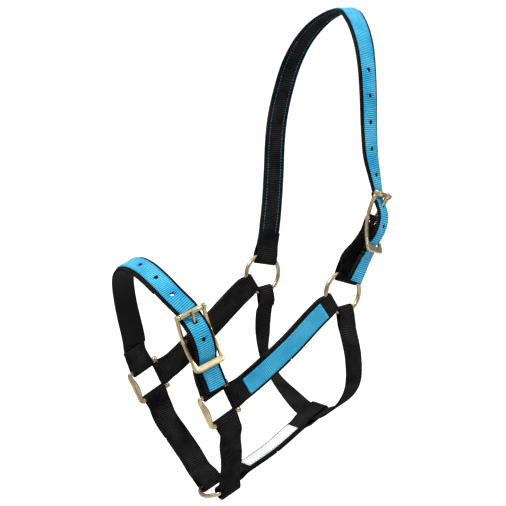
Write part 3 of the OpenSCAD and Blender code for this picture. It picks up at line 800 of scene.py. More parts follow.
def strap(
    name, rows, thick, lift_by=0.0, rib=RIB_PITCH, rib_height=RIB_HEIGHT, finish=BLACK, holes=None,
    unevenness=0.12):
    rows = resample(rows, 0, 1e9, rib / 6)
    s = lengths(rows)
    points, along, ribbed, uv = [], [], [], []
    for row, (across, face), at in zip(rows, frames(rows), s):
        wander = unevenness * (math.sin(at * 0.11 + row.width) * 0.6 + math.sin(at * 0.043 + 2.0) * 0.4)
        for x, y, k in section(row.width + wander, thick):
            points.append(row.at + across * x + face * (y + lift_by))
            along.append(at * MM)
            ribbed.append(k)
            uv.append((at * MM, x * MM))
    mesh = mesh_of(name, points, sweep_faces(len(section(1, 1)), len(rows)))
    mesh.flip_normals()
    point_attribute(mesh, "along", "FLOAT", along)
    point_attribute(mesh, "ribbed", "FLOAT", ribbed)
    layer = mesh.uv_layers.new(name="strap")
    layer.data.foreach_set("uv", [c for loop in mesh.loops for c in uv[loop.vertex_index]])
    source = new_object(name + ".source", mesh)
    values = {
        "Rib_Pitch": rib * MM, "Rib_Height": rib_height * MM, "Material": finish, "Punched": bool(holes)}
    cutters = None
    if holes:
        cutters = new_object("holes", mesh_of("holes", [h[0] for h in holes]))
        point_attribute(cutters.data, "axis", "FLOAT_VECTOR", [h[1] for h in holes])
        point_attribute(
            cutters.data, "bore", "FLOAT_VECTOR", [(h[2] / 2 * MM, h[2] / 2 * MM, h[3] * MM) for h in holes])
        values["Holes"] = cutters
    piece = grown(source, name, WEBBING_TREE, **values)
    if cutters:
        bpy.data.objects.remove(cutters)
    return piece


def punched(rows, at_lengths):
    """Holes straight through the strap at lengths along it: middle, axis, diameter, depth."""
    out = []
    for s in at_lengths:
        near = resample(rows, s - 1, s + 1, 1)
        out.append((near[1].at, frames(near)[1][1], HOLE_D, 14))
    return out


def tongue_lean():
    return math.atan((ROLLER_N + ROLLER_D / 2 + 2 * SLACK + TONGUE_D / 2) / ROLLER_RISE)


def tongue_hole(place):
    lean = tongue_lean() + math.radians(TONGUE_PLAY / 2)
    d = Vector((math.sin(lean), 0, math.cos(lean)))
    depth = ROLLER_RISE - 8
    return (place @ (d * (6 + depth / 2)), place.to_3x3() @ d, TONGUE_D + 2, depth)


def seam(rows, start, end, across, off):
    """A stitch line along a strap, at a distance across it, on the outer face if off is positive."""
    rows = resample(rows, start, end, 1.5)
    sign = 1 if off > 0 else -1
    return [(r.at + a * across + f * off, f * sign) for r, (a, f) in zip(rows, frames(rows))]


def hem(rows, at, half, off):
    """A stitch line straight across a strap."""
    r = resample(rows, at - 1, at + 1, 1)
    (a, f), middle = frames(r)[1], r[1].at
    sign = 1 if off > 0 else -1
    return [(middle + a * half * (k / 4 - 1) + f * off, f * sign) for k in range(9)]


def both_hems(rows, places, half):
    """Hem lines across both faces of a double strap."""
    return [hem(rows, at, half, 2 * HALF_PLY * side) for at in places for side in (-1, 1)]


def stitches(name, lines, finish, body, thread=THREAD_D):
    points, edges, facing = [], [], []
    for line in lines:
        first = len(points)
        for p, f in line:
            points.append(p)
            facing.append(f)
        edges += [(k, k + 1) for k in range(first, len(points) - 1)]
    mesh = mesh_of(name, points, edges=edges)
    point_attribute(mesh, "facing", "FLOAT_VECTOR", facing)
    source = new_object(name + ".source", mesh)
    piece = grown(
        source, name, STITCH_TREE, Pitch=STITCH_PITCH * MM, Length=STITCH_LENGTH * MM, Thickness=thread * MM,
        Material=finish)
    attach(piece, body)
    return piece


def fit(piece, body, slot, *nodes):
    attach(piece, body)
    if nodes:
        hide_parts(*nodes)
    return piece


# crown: one ply, hemmed round the far ring, through the near buckle


def crown_row(x, y, z, yaw=0.0):
    a = math.radians(yaw)
    return Row(
        (x * RING_SPREAD / 2, y * RING_FORWARD, z * POLL_TO_RING), (-math.sin(a), math.cos(a), 0), WEB_W)


def unit(x, y, z):
    return Vector((x, y, z)).normalized()


CROWN_START = ring_fold(
    FAR_RING, in_yz(CROWN_FAR_ANGLE), -X, in_yz(CROWN_FAR_ANGLE - 90), WEB_W, WEB_W, 30)[::-1]
CROWN_RUN = route(
    CROWN_START[-1],
    in_yz(CROWN_FAR_ANGLE),
    [
        crown_row(-1.02, -0.825, -0.835),
        crown_row(-1.09, -0.70, -0.74),
        crown_row(-1.14, -0.61, -0.62),
        crown_row(-1.15, -0.57, -0.50),
        crown_row(-1.12, -0.53, -0.40),
        crown_row(-1.04, -0.46, -0.295),
        crown_row(-0.91, -0.38, -0.195),
        crown_row(-0.70, -0.27, -0.104),
        crown_row(-0.38, -0.13, -0.03),
        Row((0, 0, WEB_T / 2), Y, WEB_W),
        crown_row(0.38, -0.13, -0.03, 3),
        crown_row(0.70, -0.27, -0.104, 8),
        crown_row(0.90, -0.38, -0.195, 12),
        crown_row(1.02, -0.46, -0.295, 14),
        crown_row(1.09, -0.51, -0.40, 16),
        crown_row(1.13, -0.51, -0.50, 20),
        crown_row(1.17, -0.46, -0.575, 27),
        *[in_buckle(CROWN_SEAT, *p) for p in BUCKLE_ROUTE],
        Row(NEAR_RING + Vector((13.5, 15.5, 32)), (-0.45, 0.85, -0.3), WEB_W),
    ],
    Row(NEAR_RING + Vector((9, 7, 11)), (-0.35, 0.87, -0.35), WEB_W),
    unit(-0.2, -0.4, -0.9),
)


def build_crown():
    whole = CROWN_START[:-1] + CROWN_RUN
    end = lengths(CROWN_RUN)[-1]
    holes = punched(CROWN_RUN, [end - 90 + c * HOLE_PITCH for c in (-5, -4, -3, -2, -1, 1, 2)])
    holes.append(tongue_hole(CROWN_SEAT))
    fit(strap("crown_webbing", whole, WEB_T, holes=holes), "crown", "webbing_black", "crown_strap")
    top = of_width(resample(CROWN_RUN, 4, end - 1.5, 1.0), OVERLAY_W)
    blue = strap(
        "crown_overlay_webbing", top, OVERLAY_T, OVERLAY_LIFT, OVERLAY_RIB, OVERLAY_RIB_HEIGHT, BLUE, holes)
    fit(blue, "crown", "webbing_blue", "crown_overlay")
    skin = OVERLAY_LIFT + OVERLAY_T / 2
    lines = [seam(CROWN_RUN, 8, end - 5, side * OVERLAY_SEAM, skin) for side in (-1, 1)]
    lines += [hem(CROWN_RUN, s, OVERLAY_SEAM, skin) for s in (8, end - 5)]
    stitches("crown_seams", lines, BLUE_THREAD, "crown")
    inside = [seam(CROWN_RUN, 8, end - 5, side * OVERLAY_SEAM, -WEB_T / 2 + 0.12) for side in (-1, 1)]
    stitches("crown_inner_seams", inside, BLUE_THREAD, "crown", 0.36)
    back = [hem(whole, s, STITCH_HALF, WEB_T / 2) for s in (2.5, 7.0)]
    back += [hem(CROWN_RUN, s, STITCH_HALF, -WEB_T / 2) for s in (1.0, 5.0)]
    stitches("crown_hem_stitches", back, BLACK_THREAD, "crown")


def chape_top(place, lean):
    turn = place.to_3x3()
    return fold(
        place.translation, turn @ unit(-lean, 0, -1), turn @ unit(1, 0, -lean), turn @ Y, WRAP_BAR, 0, 14,
        WEB_W, WEB_W)


def build_chape(name, low, leave, place, lean, bulge, body, node):
    top = chape_top(place, lean)
    middle = link(middle_of(low), leave, middle_of(top), place.to_3x3() @ Vector((lean, 0, 1)), bulge)
    rows = band(low, middle, top, 0.5)
    piece = strap(name, rows, WEB_T)
    notch(piece, place)
    fit(piece, body, "webbing_black", node)
    end = lengths(middle)[-1]
    lines = both_hems(middle, (1.5, end - 1.5), STITCH_HALF)
    for x in (-STITCH_HALF, STITCH_HALF):
        lines += [seam(middle, 1.5, end - 1.5, x, 2 * HALF_PLY * side) for side in (-1, 1)]
    stitches(name + "_stitches", lines, BLACK_THREAD, body)


def notch(piece, place):
    """Cuts the tongue's slot with a box, then gives the piece a plain mesh again."""
    half = Vector((12, 3.2, (CENTRE_BAR + 10) / 2))
    signs = [(x, y, z) for x in (-1, 1) for y in (-1, 1) for z in (-1, 1)]
    corners = [place @ Vector((x * half.x, y * half.y, z * half.z + 1)) for x, y, z in signs]
    faces = [(0, 1, 3, 2), (4, 6, 7, 5), (0, 4, 5, 1), (2, 3, 7, 6), (0, 2, 6, 4), (1, 5, 7, 3)]
    box = new_object("slot", mesh_of("slot", corners, faces))
    cut = piece.modifiers.new("slot", "BOOLEAN")
    cut.operation, cut.solver, cut.object = "DIFFERENCE", "MANIFOLD", box
    bpy.context.view_layer.update()
    mesh = bpy.data.meshes.new_from_object(piece.evaluated_get(bpy.context.evaluated_depsgraph_get()))
    piece.modifiers.clear()
    one_material(mesh, BLACK)
    piece.data = mesh
    bpy.data.objects.remove(box)


# cheeks: a double strap from round ring to square ring, with the blue patch on its outer face


def build_cheeks():
    back_bar = NEAR_SQUARE + in_yz(SQUARE_TILT) * SQUARE_R
    first = ring_fold(
        NEAR_RING, in_yz(CHEEK_ANGLE), X, in_yz(CHEEK_ANGLE + 90), WEB_W * CHEEK_NECK, WEB_W, close=8)
    last = fold(back_bar, in_yz(SQUARE_TILT), -X, in_yz(SQUARE_TILT - 90), WRAP_SQUARE, 0, 13, WEB_W, WEB_W)
    middle = link(middle_of(first), in_yz(CHEEK_ANGLE), middle_of(last), -in_yz(SQUARE_TILT), X * 1.5)
    rows = band(first, middle, last, 0.5)
    end = lengths(middle)[-1]
    patch = of_width(resample(lift(middle, HALF_PLY), 0, end - 4, 1.0), OVERLAY_W)
    skin = OVERLAY_LIFT + OVERLAY_T / 2
    outline = [seam(patch, 2, end - 6, side * OVERLAY_SEAM, skin) for side in (-1, 1)]
    outline += [hem(patch, s, OVERLAY_SEAM, skin) for s in (2.2, end - 6.2)]
    back = [seam(middle, 2, end - 6, side * OVERLAY_SEAM, -2 * HALF_PLY) for side in (-1, 1)]
    folds = both_hems(middle, (0.6, end - 0.6), WEB_W / 2 - 3)
    for side, turn in (("near", lambda r: r), ("far", mirrored)):
        fit(
            strap(f"{side}_cheek_webbing", turn(rows), WEB_T), "cradle", "webbing_black",
            f"{side}_cheek_strap")
        blue = strap(
            f"{side}_cheek_patch", turn(patch), OVERLAY_T, OVERLAY_LIFT, OVERLAY_RIB, OVERLAY_RIB_HEIGHT, BLUE
        )
        fit(blue, "cradle", "webbing_blue", f"{side}_cheek_overlay")
        stitches(f"{side}_cheek_patch_seam", turn_lines(outline, side), BLUE_THREAD, "cradle")
        stitches(
            f"{side}_cheek_stitches", turn_lines(back + folds, side), BLACK_THREAD, "cradle")


def turn_lines(lines, side):
    if side == "near":
        return lines
    flip = Vector((-1, 1, 1))
    return [[(p * flip, f * flip) for p, f in line] for line in lines]


# noseband: one ply with a soft lining, hemmed round the far square ring, through the near buckle


def nose_row(x, b, w):
    foot = Vector((x * SQUARE_SPREAD / 2, NEAR_SQUARE.y, NEAR_SQUARE.z))
    return Row(foot + in_yz(NOSE_TILT) * b + in_yz(NOSE_TILT + 90) * w * NOSE_ARCH, in_yz(NOSE_TILT), WEB_W)


TOP_BAR = in_yz(SQUARE_TILT + 90) * SQUARE_R
NOSE_START = fold(
    FAR_SQUARE + TOP_BAR, in_yz(SQUARE_TILT + 90), -X, in_yz(SQUARE_TILT), WRAP_SQUARE, 0, 13, WEB_W, WEB_W,
    24)[::-1]
NOSE_RUN = route(
    NOSE_START[-1],
    in_yz(SQUARE_TILT + 90),
    [
        nose_row(-1.01, 3.5, 0.34),
        nose_row(-0.99, 7, 0.50),
        nose_row(-0.92, 9, 0.635),
        nose_row(-0.76, 9, 0.765),
        nose_row(-0.52, 7, 0.87),
        nose_row(-0.26, 6, 0.935),
        nose_row(0, 5.5, 0.955),
        nose_row(0.28, 5, 0.935),
        nose_row(0.56, 4.5, 0.87),
        nose_row(0.83, 4, 0.785),
        *[in_buckle(NOSE_SEAT, *p) for p in BUCKLE_ROUTE],
        in_buckle(NOSE_SEAT, -0.4, -END_DROP - 9),
        in_buckle(NOSE_SEAT, -0.2, -END_DROP - 18),
    ],
    in_buckle(NOSE_SEAT, 0, -END_DROP - 27),
    NOSE_SEAT.to_3x3() @ -Z,
)


def build_noseband():
    whole = NOSE_START[:-1] + NOSE_RUN
    end = lengths(NOSE_RUN)[-1]
    holes = punched(NOSE_RUN, [end - 82 + c * HOLE_PITCH for c in (-3, -2, -1, 1)])
    holes.append(tongue_hole(NOSE_SEAT))
    fit(strap("noseband_webbing", whole, WEB_T, holes=holes), "cradle", "webbing_black", "noseband_strap")
    top = of_width(resample(NOSE_RUN, 4, end - 1.5, 1.0), OVERLAY_W)
    blue = strap(
        "noseband_overlay_webbing", top, OVERLAY_T, OVERLAY_LIFT, OVERLAY_RIB, OVERLAY_RIB_HEIGHT, BLUE, holes
    )
    fit(blue, "cradle", "webbing_blue", "noseband_overlay")
    lining_rows = resample(NOSE_RUN, 14, end - 122, 1.0)
    lining = strap(
        "noseband_soft_lining", lining_rows, LINING_T, -(WEB_T + LINING_T) / 2 - PLY_GAP, finish=LINING,
        rib_height=0.03, unevenness=0.3)
    fit(lining, "cradle", "lining_black", "noseband_lining")
    skin = OVERLAY_LIFT + OVERLAY_T / 2
    lines = [seam(NOSE_RUN, 8, end - 5, side * OVERLAY_SEAM, skin) for side in (-1, 1)]
    lines += [hem(NOSE_RUN, s, OVERLAY_SEAM, skin) for s in (8, end - 5)]
    stitches("noseband_seams", lines, BLUE_THREAD, "cradle")
    inner = -(WEB_T / 2 + PLY_GAP + LINING_T)
    inside = [seam(NOSE_RUN, 16, end - 124, side * (WEB_W / 2 - 2.0), inner) for side in (-1, 1)]
    inside += [hem(NOSE_RUN, s, WEB_W / 2 - 2.0, inner) for s in (16, end - 124)]
    inside += [hem(NOSE_RUN, s, STITCH_HALF, -WEB_T / 2) for s in (2.0, 6.0)]
    stitches("noseband_lining_stitches", inside, BLACK_THREAD, "cradle")


# chin, throat and jaw


def build_chin():
    inner = math.sqrt(RING_R**2 - WEB_W**2 / 4)
    rise = math.radians(45)
    leave = math.cos(rise) * X + math.sin(rise) * in_yz(CHIN_TILT + 90)
    first = fold(
        NEAR_SQUARE - TOP_BAR, in_yz(SQUARE_TILT - 90), X, in_yz(SQUARE_TILT), WRAP_SQUARE, 0, 13, WEB_W,
        WEB_W)
    at = CHIN_CENTRE + X * (inner + RING_R) / 2
    last = fold(
        at, leave, leave.cross(in_yz(CHIN_TILT)), in_yz(CHIN_TILT),
        WRAP_RING + (RING_R - inner) / 2 * math.sin(rise) + RING_EASE, 2, 16, WEB_W * 0.94, WEB_W)

    def chin_row(x, y, z):
        return Row(
            (NEAR_SQUARE.x * x, NEAR_SQUARE.y + CHIN_BACK * y, NEAR_SQUARE.z - CHIN_DROP * z),
            in_yz(SQUARE_TILT), WEB_W)

    middle = route(
        middle_of(first), in_yz(SQUARE_TILT - 90),
        [chin_row(0.91, 0.40, 0.40), chin_row(0.75, 0.60, 0.58), chin_row(0.57, 0.77, 0.75)], middle_of(last),
        -leave)
    rows = band(first, middle, last, 0.45)
    end = lengths(middle)[-1]
    lines = both_hems(middle, (1.0, 5.0, end - 4.0, end - 0.5), STITCH_HALF)
    for side, turn in (("near", lambda r: r), ("far", mirrored)):
        fit(strap(f"{side}_chin_webbing", turn(rows), WEB_T), "cradle", "webbing_black", f"{side}_chin_strap")
        stitches(f"{side}_chin_stitches", turn_lines(lines, side), BLACK_THREAD, "cradle")


def build_throat():
    first = ring_fold(
        NEAR_RING, in_yz(THROAT_ANGLE), -X, in_yz(THROAT_ANGLE + 90), THROAT_W * THROAT_NECK, THROAT_W, 19,
        close=10)
    side = first[::-1]
    flip = Vector((-1, 1, 1))
    far = [Row(r.at * flip, r.across, r.width) for r in side]

    def throat_row(s, x, y, z, a, twist=0.0):
        return Row(
            (s * x * RING_SPREAD / 2, NEAR_RING.y + y, NEAR_RING.z - z * THROAT_DROP), in_yz(a) - X * twist,
            THROAT_W)

    half = (
        (1.06, 4.5, 0.30, 10), (1.10, 8, 0.47, 11), (1.03, 12, 0.665, 14), (0.80, 15.5, 0.81, 19),
        (0.47, 16, 0.93, 26), (0.17, 14.8, 0.996, 31))
    # the far half turns a little on its way down
    far_half = (
        (1.06, 4.5, 0.30, 10), (1.10, 5, 0.47, 11, 0.15), (1.05, 5, 0.655, 14, 0.7), (0.84, 9, 0.80, 19, 0.9),
        (0.50, 13.5, 0.925, 26, 0.4), (0.18, 14.6, 0.996, 31))
    middle = [throat_row(1, *h) for h in half]
    middle.append(Row(THROAT_LOW, in_yz(JAW_RISE), THROAT_W))
    middle += [throat_row(-1, *h) for h in far_half[::-1]]
    run = route(side[-1], in_yz(THROAT_ANGLE), middle, far[-1], -in_yz(THROAT_ANGLE))
    rows = side[:-1] + run + far[-2::-1]
    fit(strap("throat_webbing", rows, WEB_T), "cradle", "webbing_black", "throat_latch")
    end = lengths(run)[-1]
    lines = []
    for at in (1.0, 4.5, end - 4.5, end - 1.0):
        lines += [hem(run, at, THROAT_W / 2 - 2.2, off) for off in (WEB_T / 2, -WEB_T / 2)]
    stitches("throat_hem_stitches", lines, BLACK_THREAD, "cradle")


def build_jaw():
    rise = in_yz(JAW_RISE)
    first = ring_fold(CHIN_CENTRE, in_yz(CHIN_TILT), in_yz(CHIN_TILT - 90), X, WEB_W * 0.92, WEB_W, close=12)
    last = fold(
        THROAT_LOW + rise * (THROAT_W / 2 - 1), -rise, in_yz(JAW_RISE + 90), X, WEB_T + 3 * SLACK,
        THROAT_W + 0.5, THROAT_W + 11, WEB_W, WEB_W)
    middle = link(middle_of(first), in_yz(CHIN_TILT), middle_of(last), rise, -Z)
    fit(strap("jaw_webbing", band(first, middle, last, 0.5), WEB_T), "cradle", "webbing_black", "jaw_strap")
    end = lengths(middle)[-1]
    lines = both_hems(middle, (1.0, end - 5.0, end - 1.0), STITCH_HALF)
    stitches("jaw_stitches", lines, BLACK_THREAD, "cradle")

    under = lift(middle, -HALF_PLY)
    off = -(WEB_T + LABEL_T) / 2 - 0.05
    label_rows = of_width(resample(under, 4, 4 + LABEL_L, 1.0), LABEL_W)
    label = strap(
        "blank_label", label_rows, LABEL_T, off, rib=1.0, rib_height=0.0, finish=LABEL, unevenness=0.05)
    fit(label, "cradle", "label_white", "care_label")
    face = off - LABEL_T / 2
    edge = [seam(label_rows, 1.2, LABEL_L - 1.2, x, face) for x in (-(LABEL_W / 2 - 1.2), LABEL_W / 2 - 1.2)]
    edge += [hem(label_rows, s, LABEL_W / 2 - 1.2, face) for s in (1.2, LABEL_L - 1.2)]
    stitches("label_stitches", edge, BLACK_THREAD, "cradle")


# ---------------------------------------------------------------- brass


def swept_bar(stations, closed=False):
    """A bar swept through stations: middle, directions in plane and outward, width, thickness, squareness."""
    n = 20
    points = []
    for at, wide, out, width, thick, square in stations:
        for k in range(n):
            a = 2 * math.pi * k / n
            c, s = math.cos(a), math.sin(a)
            x = math.copysign(abs(c) ** (1 / square), c) * width / 2
            y = math.copysign(abs(s) ** (1 / square), s) * thick / 2
            points.append(at + wide * x + out * y)
    return points, sweep_faces(n, len(stations), closed)


def turned_bar(start, axis, profile, n=32):
    """A bar turned on a lathe: profile is (distance along, radius). A radius of 0 closes an end."""
    side = axis.orthogonal().normalized()
    other = axis.cross(side)
    points, faces, rings = [], [], []
    for along, radius in profile:
        ring = []
        for k in range(n):
            a = 2 * math.pi * k / n
            ring.append(len(points))
            points.append(start + axis * along + (side * math.cos(a) + other * math.sin(a)) * radius)
            if radius == 0:
                ring = ring * n
                break
        rings.append(ring)
    for a, b in zip(rings, rings[1:]):
        for k in range(n):
            face = (a[k], a[(k + 1) % n], b[(k + 1) % n], b[k])
            face = tuple(dict.fromkeys(face))
            if len(face) > 2:
                faces.append(face)
    return points, faces


def bored(start, axis, half_profile, length, n=32):
    """A sleeve turned on a lathe: a profile to its middle, mirrored along it, with its bore closed up."""
    profile = half_profile + [(length - along, radius) for along, radius in reversed(half_profile[:-1])]
    points, faces = turned_bar(start, axis, profile, n)
    last = (len(profile) - 1) * n
    return points, faces + [(last + k, last + (k + 1) % n, (k + 1) % n, k) for k in range(n)]


def round_ended(length, radius, soft):
    """Profile of a plain rod with softened ends."""
    quarter = (0, math.pi / 6, math.pi / 3, math.pi / 2)
    arc = [(soft * (1 - math.cos(a)), radius - soft * (1 - math.sin(a))) for a in quarter]
    return [(0, 0)] + arc + [(length - x, r) for x, r in reversed(arc)] + [(length, 0)]


def metal(name, solids, finish, body, *nodes, place=Matrix()):
    points, faces = [], []
    for p, f in solids:
        base = len(points)
        points += [place @ v for v in p]
        faces += [tuple(base + k for k in face) for face in f]
    mesh = mesh_of(name, points, faces)
    outwards(mesh)
    mesh.shade_smooth()
    mesh.materials.append(finish)
    return fit(new_object(name, mesh), body, "brass", *nodes)


def outwards(mesh):
    b = bmesh.new()
    b.from_mesh(mesh)
    bmesh.ops.remove_doubles(b, verts=b.verts, dist=1e-6)
    bmesh.ops.recalc_face_normals(b, faces=b.faces)
    b.to_mesh(mesh)
    b.free()


def frame_outline():
    """The frame's middle line: down one arm from its roller eye, along the end bar and up the other."""
    arm, low, corner = (FRAME_W - ARM_W) / 2, -END_DROP, 2.6
    line = [(arm, ROLLER_RISE - 1.5 - k * 2.0) for k in range(23)]
    line = [p for p in line if p[1] > low + corner + 1]
    for degrees in range(0, 91, 10):
        a = math.radians(degrees)
        line.append((arm - corner + corner * math.cos(a), low + corner - corner * math.sin(a)))
    line += [(y, low) for y in (9, 6, 3, 0)]
    return line + [(-y, z) for y, z in reversed(line[:-1])]


def bowed(z):
    r = (((ROLLER_RISE + END_DROP) / 2) ** 2 + BOW * BOW) / (2 * BOW)
    middle = (ROLLER_RISE - END_DROP) / 2
    x = r - math.sqrt(r * r - (z - middle) ** 2)
    slope = (z - middle) / math.sqrt(r * r - (z - middle) ** 2)
    return x, Vector((1, 0, -slope)).normalized()


def buckle_frame(name, place, body, node):
    line = frame_outline()
    stations = []
    for i, (y, z) in enumerate(line):
        x, out = bowed(z)
        before, after = line[max(i - 1, 0)], line[min(i + 1, len(line) - 1)]
        run = Vector((0, after[0] - before[0], after[1] - before[1])).normalized()
        share = ease((-(z + END_DROP) + 7.5) / 7.5)
        width = ARM_W + (END_BAR - ARM_W) * share
        thick = PLATE_T - 0.4 * share
        wide = out.cross(run).normalized()
        stations.append((Vector((x, y, z)), wide, out, width, thick, 1.9 + 0.9 * share))
    solids = [swept_bar(stations)]
    for side in (-1, 1):
        eye = Vector((ROLLER_N, side * (FRAME_W - ARM_W) / 2 - ARM_W / 2, ROLLER_RISE))
        solids.append(turned_bar(eye, Y, round_ended(ARM_W, (ROLLER_D + 0.4) / 2, 0.7)))
        boss = Vector((0, side * (FRAME_W - ARM_W) / 2 - ARM_W / 2 + 0.2, 0))
        solids.append(turned_bar(boss, Y, round_ended(ARM_W - 0.4, CENTRE_BAR / 2 + 0.5, 0.6)))
    pin = Vector((ROLLER_N, -(FRAME_W - 1) / 2, ROLLER_RISE))
    solids.append(turned_bar(pin, Y, round_ended(FRAME_W - 1, ROLLER_PIN / 2, 0.4)))
    bar = Vector((0, -(FRAME_W - 1) / 2, 0))
    solids.append(turned_bar(bar, Y, round_ended(FRAME_W - 1, CENTRE_BAR / 2, 0.5)))
    return metal(name, solids, BRASS, body, node, place=place)


def buckle_roller(name, place, body, node):
    """A sleeve rolled from sheet: outer wall, rounded lips and its own bore."""
    length = FRAME_W - 2 * ARM_W - 1.0
    outer, inner, lip = ROLLER_D / 2, ROLLER_PIN / 2 + RUNNING, 0.45
    profile = [
        (lip, inner), (0.1, inner + 0.25), (0, (outer + inner) / 2), (0.1, outer - 0.25), (lip, outer),
        (length * 0.25, outer - 0.03), (length * 0.5, outer)]
    start = Vector((ROLLER_N, -length / 2, ROLLER_RISE))
    return metal(name, [bored(start, Y, profile, length, 40)], BRASS, body, node, place=place)


def buckle_tongue(name, place, body, node):
    """A bent wire tongue: a wrapped collar, a shank that flattens towards the roller, and a rounded tip."""
    lean = tongue_lean()
    d = Vector((math.sin(lean), 0, math.cos(lean)))
    out = Vector((math.cos(lean), 0, -math.sin(lean)))
    reach = math.hypot(ROLLER_N + ROLLER_D / 2 + 2 * SLACK + TONGUE_D / 2, ROLLER_RISE) + 3.4
    stations = []
    for k in range(25):
        t = k / 24
        s = 2.4 + (reach - 2.4) * t
        tip = math.sqrt(max(1 - ((t - 0.93) / 0.07) ** 2, 0.04)) if t > 0.93 else 1
        stations.append((
            d * s, Y, out, TONGUE_D * (1.0 + 0.06 * math.sin(t * math.pi)) * tip,
            TONGUE_D * (1 - 0.12 * t) * tip, 1.15))
    collar_in, collar_out = CENTRE_BAR / 2 + RUNNING, CENTRE_BAR / 2 + 1.5
    half = 2.5
    profile = [
        (0.3, collar_in), (0, collar_in + 0.3), (0, collar_out - 0.4), (0.35, collar_out),
        (half, collar_out + 0.02)]
    collar = bored(Vector((0, -half, 0)), Y, profile, 2 * half)
    return metal(name, [collar, swept_bar(stations)], BRASS, body, node, place=place)


def ring_solids(centre, normal, reference):
    """A ring of drawn wire, its butt weld a touch thicker than the rest."""
    other = normal.cross(reference)
    stations = []
    for k in range(120):
        a = 2 * math.pi * k / 120
        out = reference * math.cos(a) + other * math.sin(a)
        weld = 0.12 * math.exp(-((k - 60) ** 2) / 6)
        stations.append((centre + out * RING_R, out, normal, RING_WIRE + weld, RING_WIRE + weld, 1.0))
    return [swept_bar(stations, closed=True)]


def square_ring(name, centre, node):
    """Three round bars and a flat front plate with a swelling on its inner edge, cast in one."""
    r, front = SQUARE_R, SQUARE_R + 0.4
    u, v = in_yz(SQUARE_TILT), in_yz(SQUARE_TILT + 90)
    corner, line = 2.6, []

    def leg(a, b, n=14):
        return [(a[0] + (b[0] - a[0]) * k / n, a[1] + (b[1] - a[1]) * k / n) for k in range(n + 1)]

    # each side, the middle of the corner that follows it, and the angle that the corner starts at
    low, high, left = -(r - corner), r - corner, -(front - corner)
    sides = (
        ((-front, high), (-front, low), (left, low), 180),
        ((left, -r), (high, -r), (high, low), 270),
        ((r, low), (r, high), (high, high), 0),
        ((high, r), (left, r), (left, high), 90),
    )
    for a, b, (cx, cy), start in sides:
        line += leg(a, b)
        for degrees in range(15, 90, 15):
            t = math.radians(start + degrees)
            line.append((cx + corner * math.cos(t), cy + corner * math.sin(t)))
    stations = []
    for i, (x, y) in enumerate(line):
        before, after = line[i - 1], line[(i + 1) % len(line)]
        run = (u * (after[0] - before[0]) + v * (after[1] - before[1])).normalized()
        wide = X.cross(run)
        plate = ease((-x - (front - corner) + 0.4) / 2.2)
        swell = plate * max(0.0, 1 - (y / (r - 1.5)) ** 2) ** 1.5 * 2.6
        width = SQUARE_BAR - plate * 0.4 + swell
        thick = SQUARE_BAR - plate * 1.6
        at = centre + u * (x + swell / 2) + v * y
        stations.append((at, wide, X, width, thick, 1.0 + 0.8 * plate))
    solids = [swept_bar(stations, closed=True)]
    for sign in (-1, 1):
        knob = centre + (u + v * sign) * (r - 0.9)
        length, radius = 4.6, SQUARE_BAR / 2 + 0.7
        arc = [math.pi * k / 12 for k in range(13)]
        solids.append(turned_bar(
            knob, (u + v * sign).normalized(),
            [(-math.cos(a) * length, 0 if k in (0, 12) else radius * math.sin(a)) for k, a in enumerate(arc)],
            24))
    return metal(name, solids, BRASS, "cradle", node)


def build_brass():
    for name, place, body in (("crown", CROWN_SEAT, "crown"), ("nose", NOSE_SEAT, "cradle")):
        buckle_frame(f"{name}_buckle", place, body, f"{name}_buckle_frame")
        buckle_roller(f"{name}_roller", place, f"{name}_roller", f"{name}_buckle_roller")
        buckle_tongue(f"{name}_tongue", place, f"{name}_tongue", f"{name}_buckle_tongue")
    metal("near_ring_wire", ring_solids(NEAR_RING, X, in_yz(180)), BRASS_RING, "near_ring", "near_round_ring")
    metal("far_ring_wire", ring_solids(FAR_RING, X, in_yz(0)), BRASS_RING, "far_ring", "far_round_ring")
    metal(
        "chin_ring_wire", ring_solids(CHIN_CENTRE, in_yz(CHIN_TILT + 90), in_yz(CHIN_TILT)), BRASS_RING,
        "chin_ring", "chin_ring")
    square_ring("near_square_brass", NEAR_SQUARE, "near_square_ring")
    square_ring("far_square_brass", FAR_SQUARE, "far_square_ring")


# ---------------------------------------------------------------- build


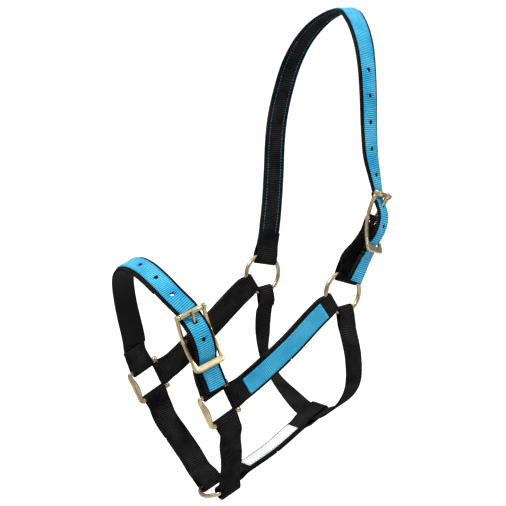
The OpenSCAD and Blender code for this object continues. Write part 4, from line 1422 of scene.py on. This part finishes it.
def sky_light(tree):
    """White behind the object. The light it gives is bright overhead and dim towards the horizon."""
    up = tree.nodes.new("ShaderNodeSeparateXYZ")
    tree.links.new(tree.nodes.new("ShaderNodeTexCoord").outputs["Generated"], up.inputs[0])
    dome = spread(tree, up.outputs["Z"], 0.0, 0.8, 0.24, 1.3)
    seen = tree.nodes.new("ShaderNodeLightPath").outputs["Is Camera Ray"]
    strength = tree.nodes.new("ShaderNodeMix")
    tree.links.new(seen, strength.inputs[0])
    tree.links.new(dome, strength.inputs[2])
    strength.inputs[3].default_value = 1.0
    tree.links.new(strength.outputs[0], tree.nodes["Background"].inputs["Strength"])
    tree.nodes["Background"].inputs["Color"].default_value = (1, 1, 1, 1)


def build_room():
    mesh = bpy.data.meshes.new("floor")
    s, z = 90.0, -0.56
    mesh.from_pydata([(-s, -s, z), (s, -s, z), (s, s, z), (-s, s, z)], [], [(0, 1, 2, 3)])
    floor = new_object("floor", mesh)
    f = Finish("Pale floor", roughness=0.9, specular_ior_level=0.1, emission_color=(1, 1, 1, 1))
    seen = f.tree.nodes.new("ShaderNodeLightPath").outputs["Is Camera Ray"]
    f.set("Emission Strength", maths(f.tree, "MULTIPLY", seen, 0.62))
    tone = noise(f.tree, f.object, 2.0, 2.0)
    f.set("Base Color", blend(f.tree, tone, (0.55, 0.55, 0.55), (0.60, 0.60, 0.60)))
    mesh.materials.append(f.material)
    scene = bpy.context.scene
    world = bpy.data.worlds.new("studio")
    world.use_nodes = True
    sky_light(world.node_tree)
    scene.world = world
    scene.view_settings.view_transform = "Standard"


build_room()
build_crown()
build_chape(
    "crown_chape_webbing",
    ring_fold(NEAR_RING, in_yz(CROWN_NEAR_ANGLE), -X, in_yz(CROWN_NEAR_ANGLE - 90), WEB_W, WEB_W),
    in_yz(CROWN_NEAR_ANGLE), CROWN_SEAT, 0.42, Y * 3, "crown", "crown_chape")
build_chape(
    "nose_chape_webbing",
    fold(
        NEAR_SQUARE + TOP_BAR, in_yz(SQUARE_TILT + 90), -X, in_yz(SQUARE_TILT), WRAP_SQUARE, 0, 12,
        WEB_W, WEB_W),
    in_yz(SQUARE_TILT + 90), NOSE_SEAT, 0.14, Vector(), "cradle", "nose_chape")
build_cheeks()
build_noseband()
build_chin()
build_throat()
build_jaw()
build_brass()
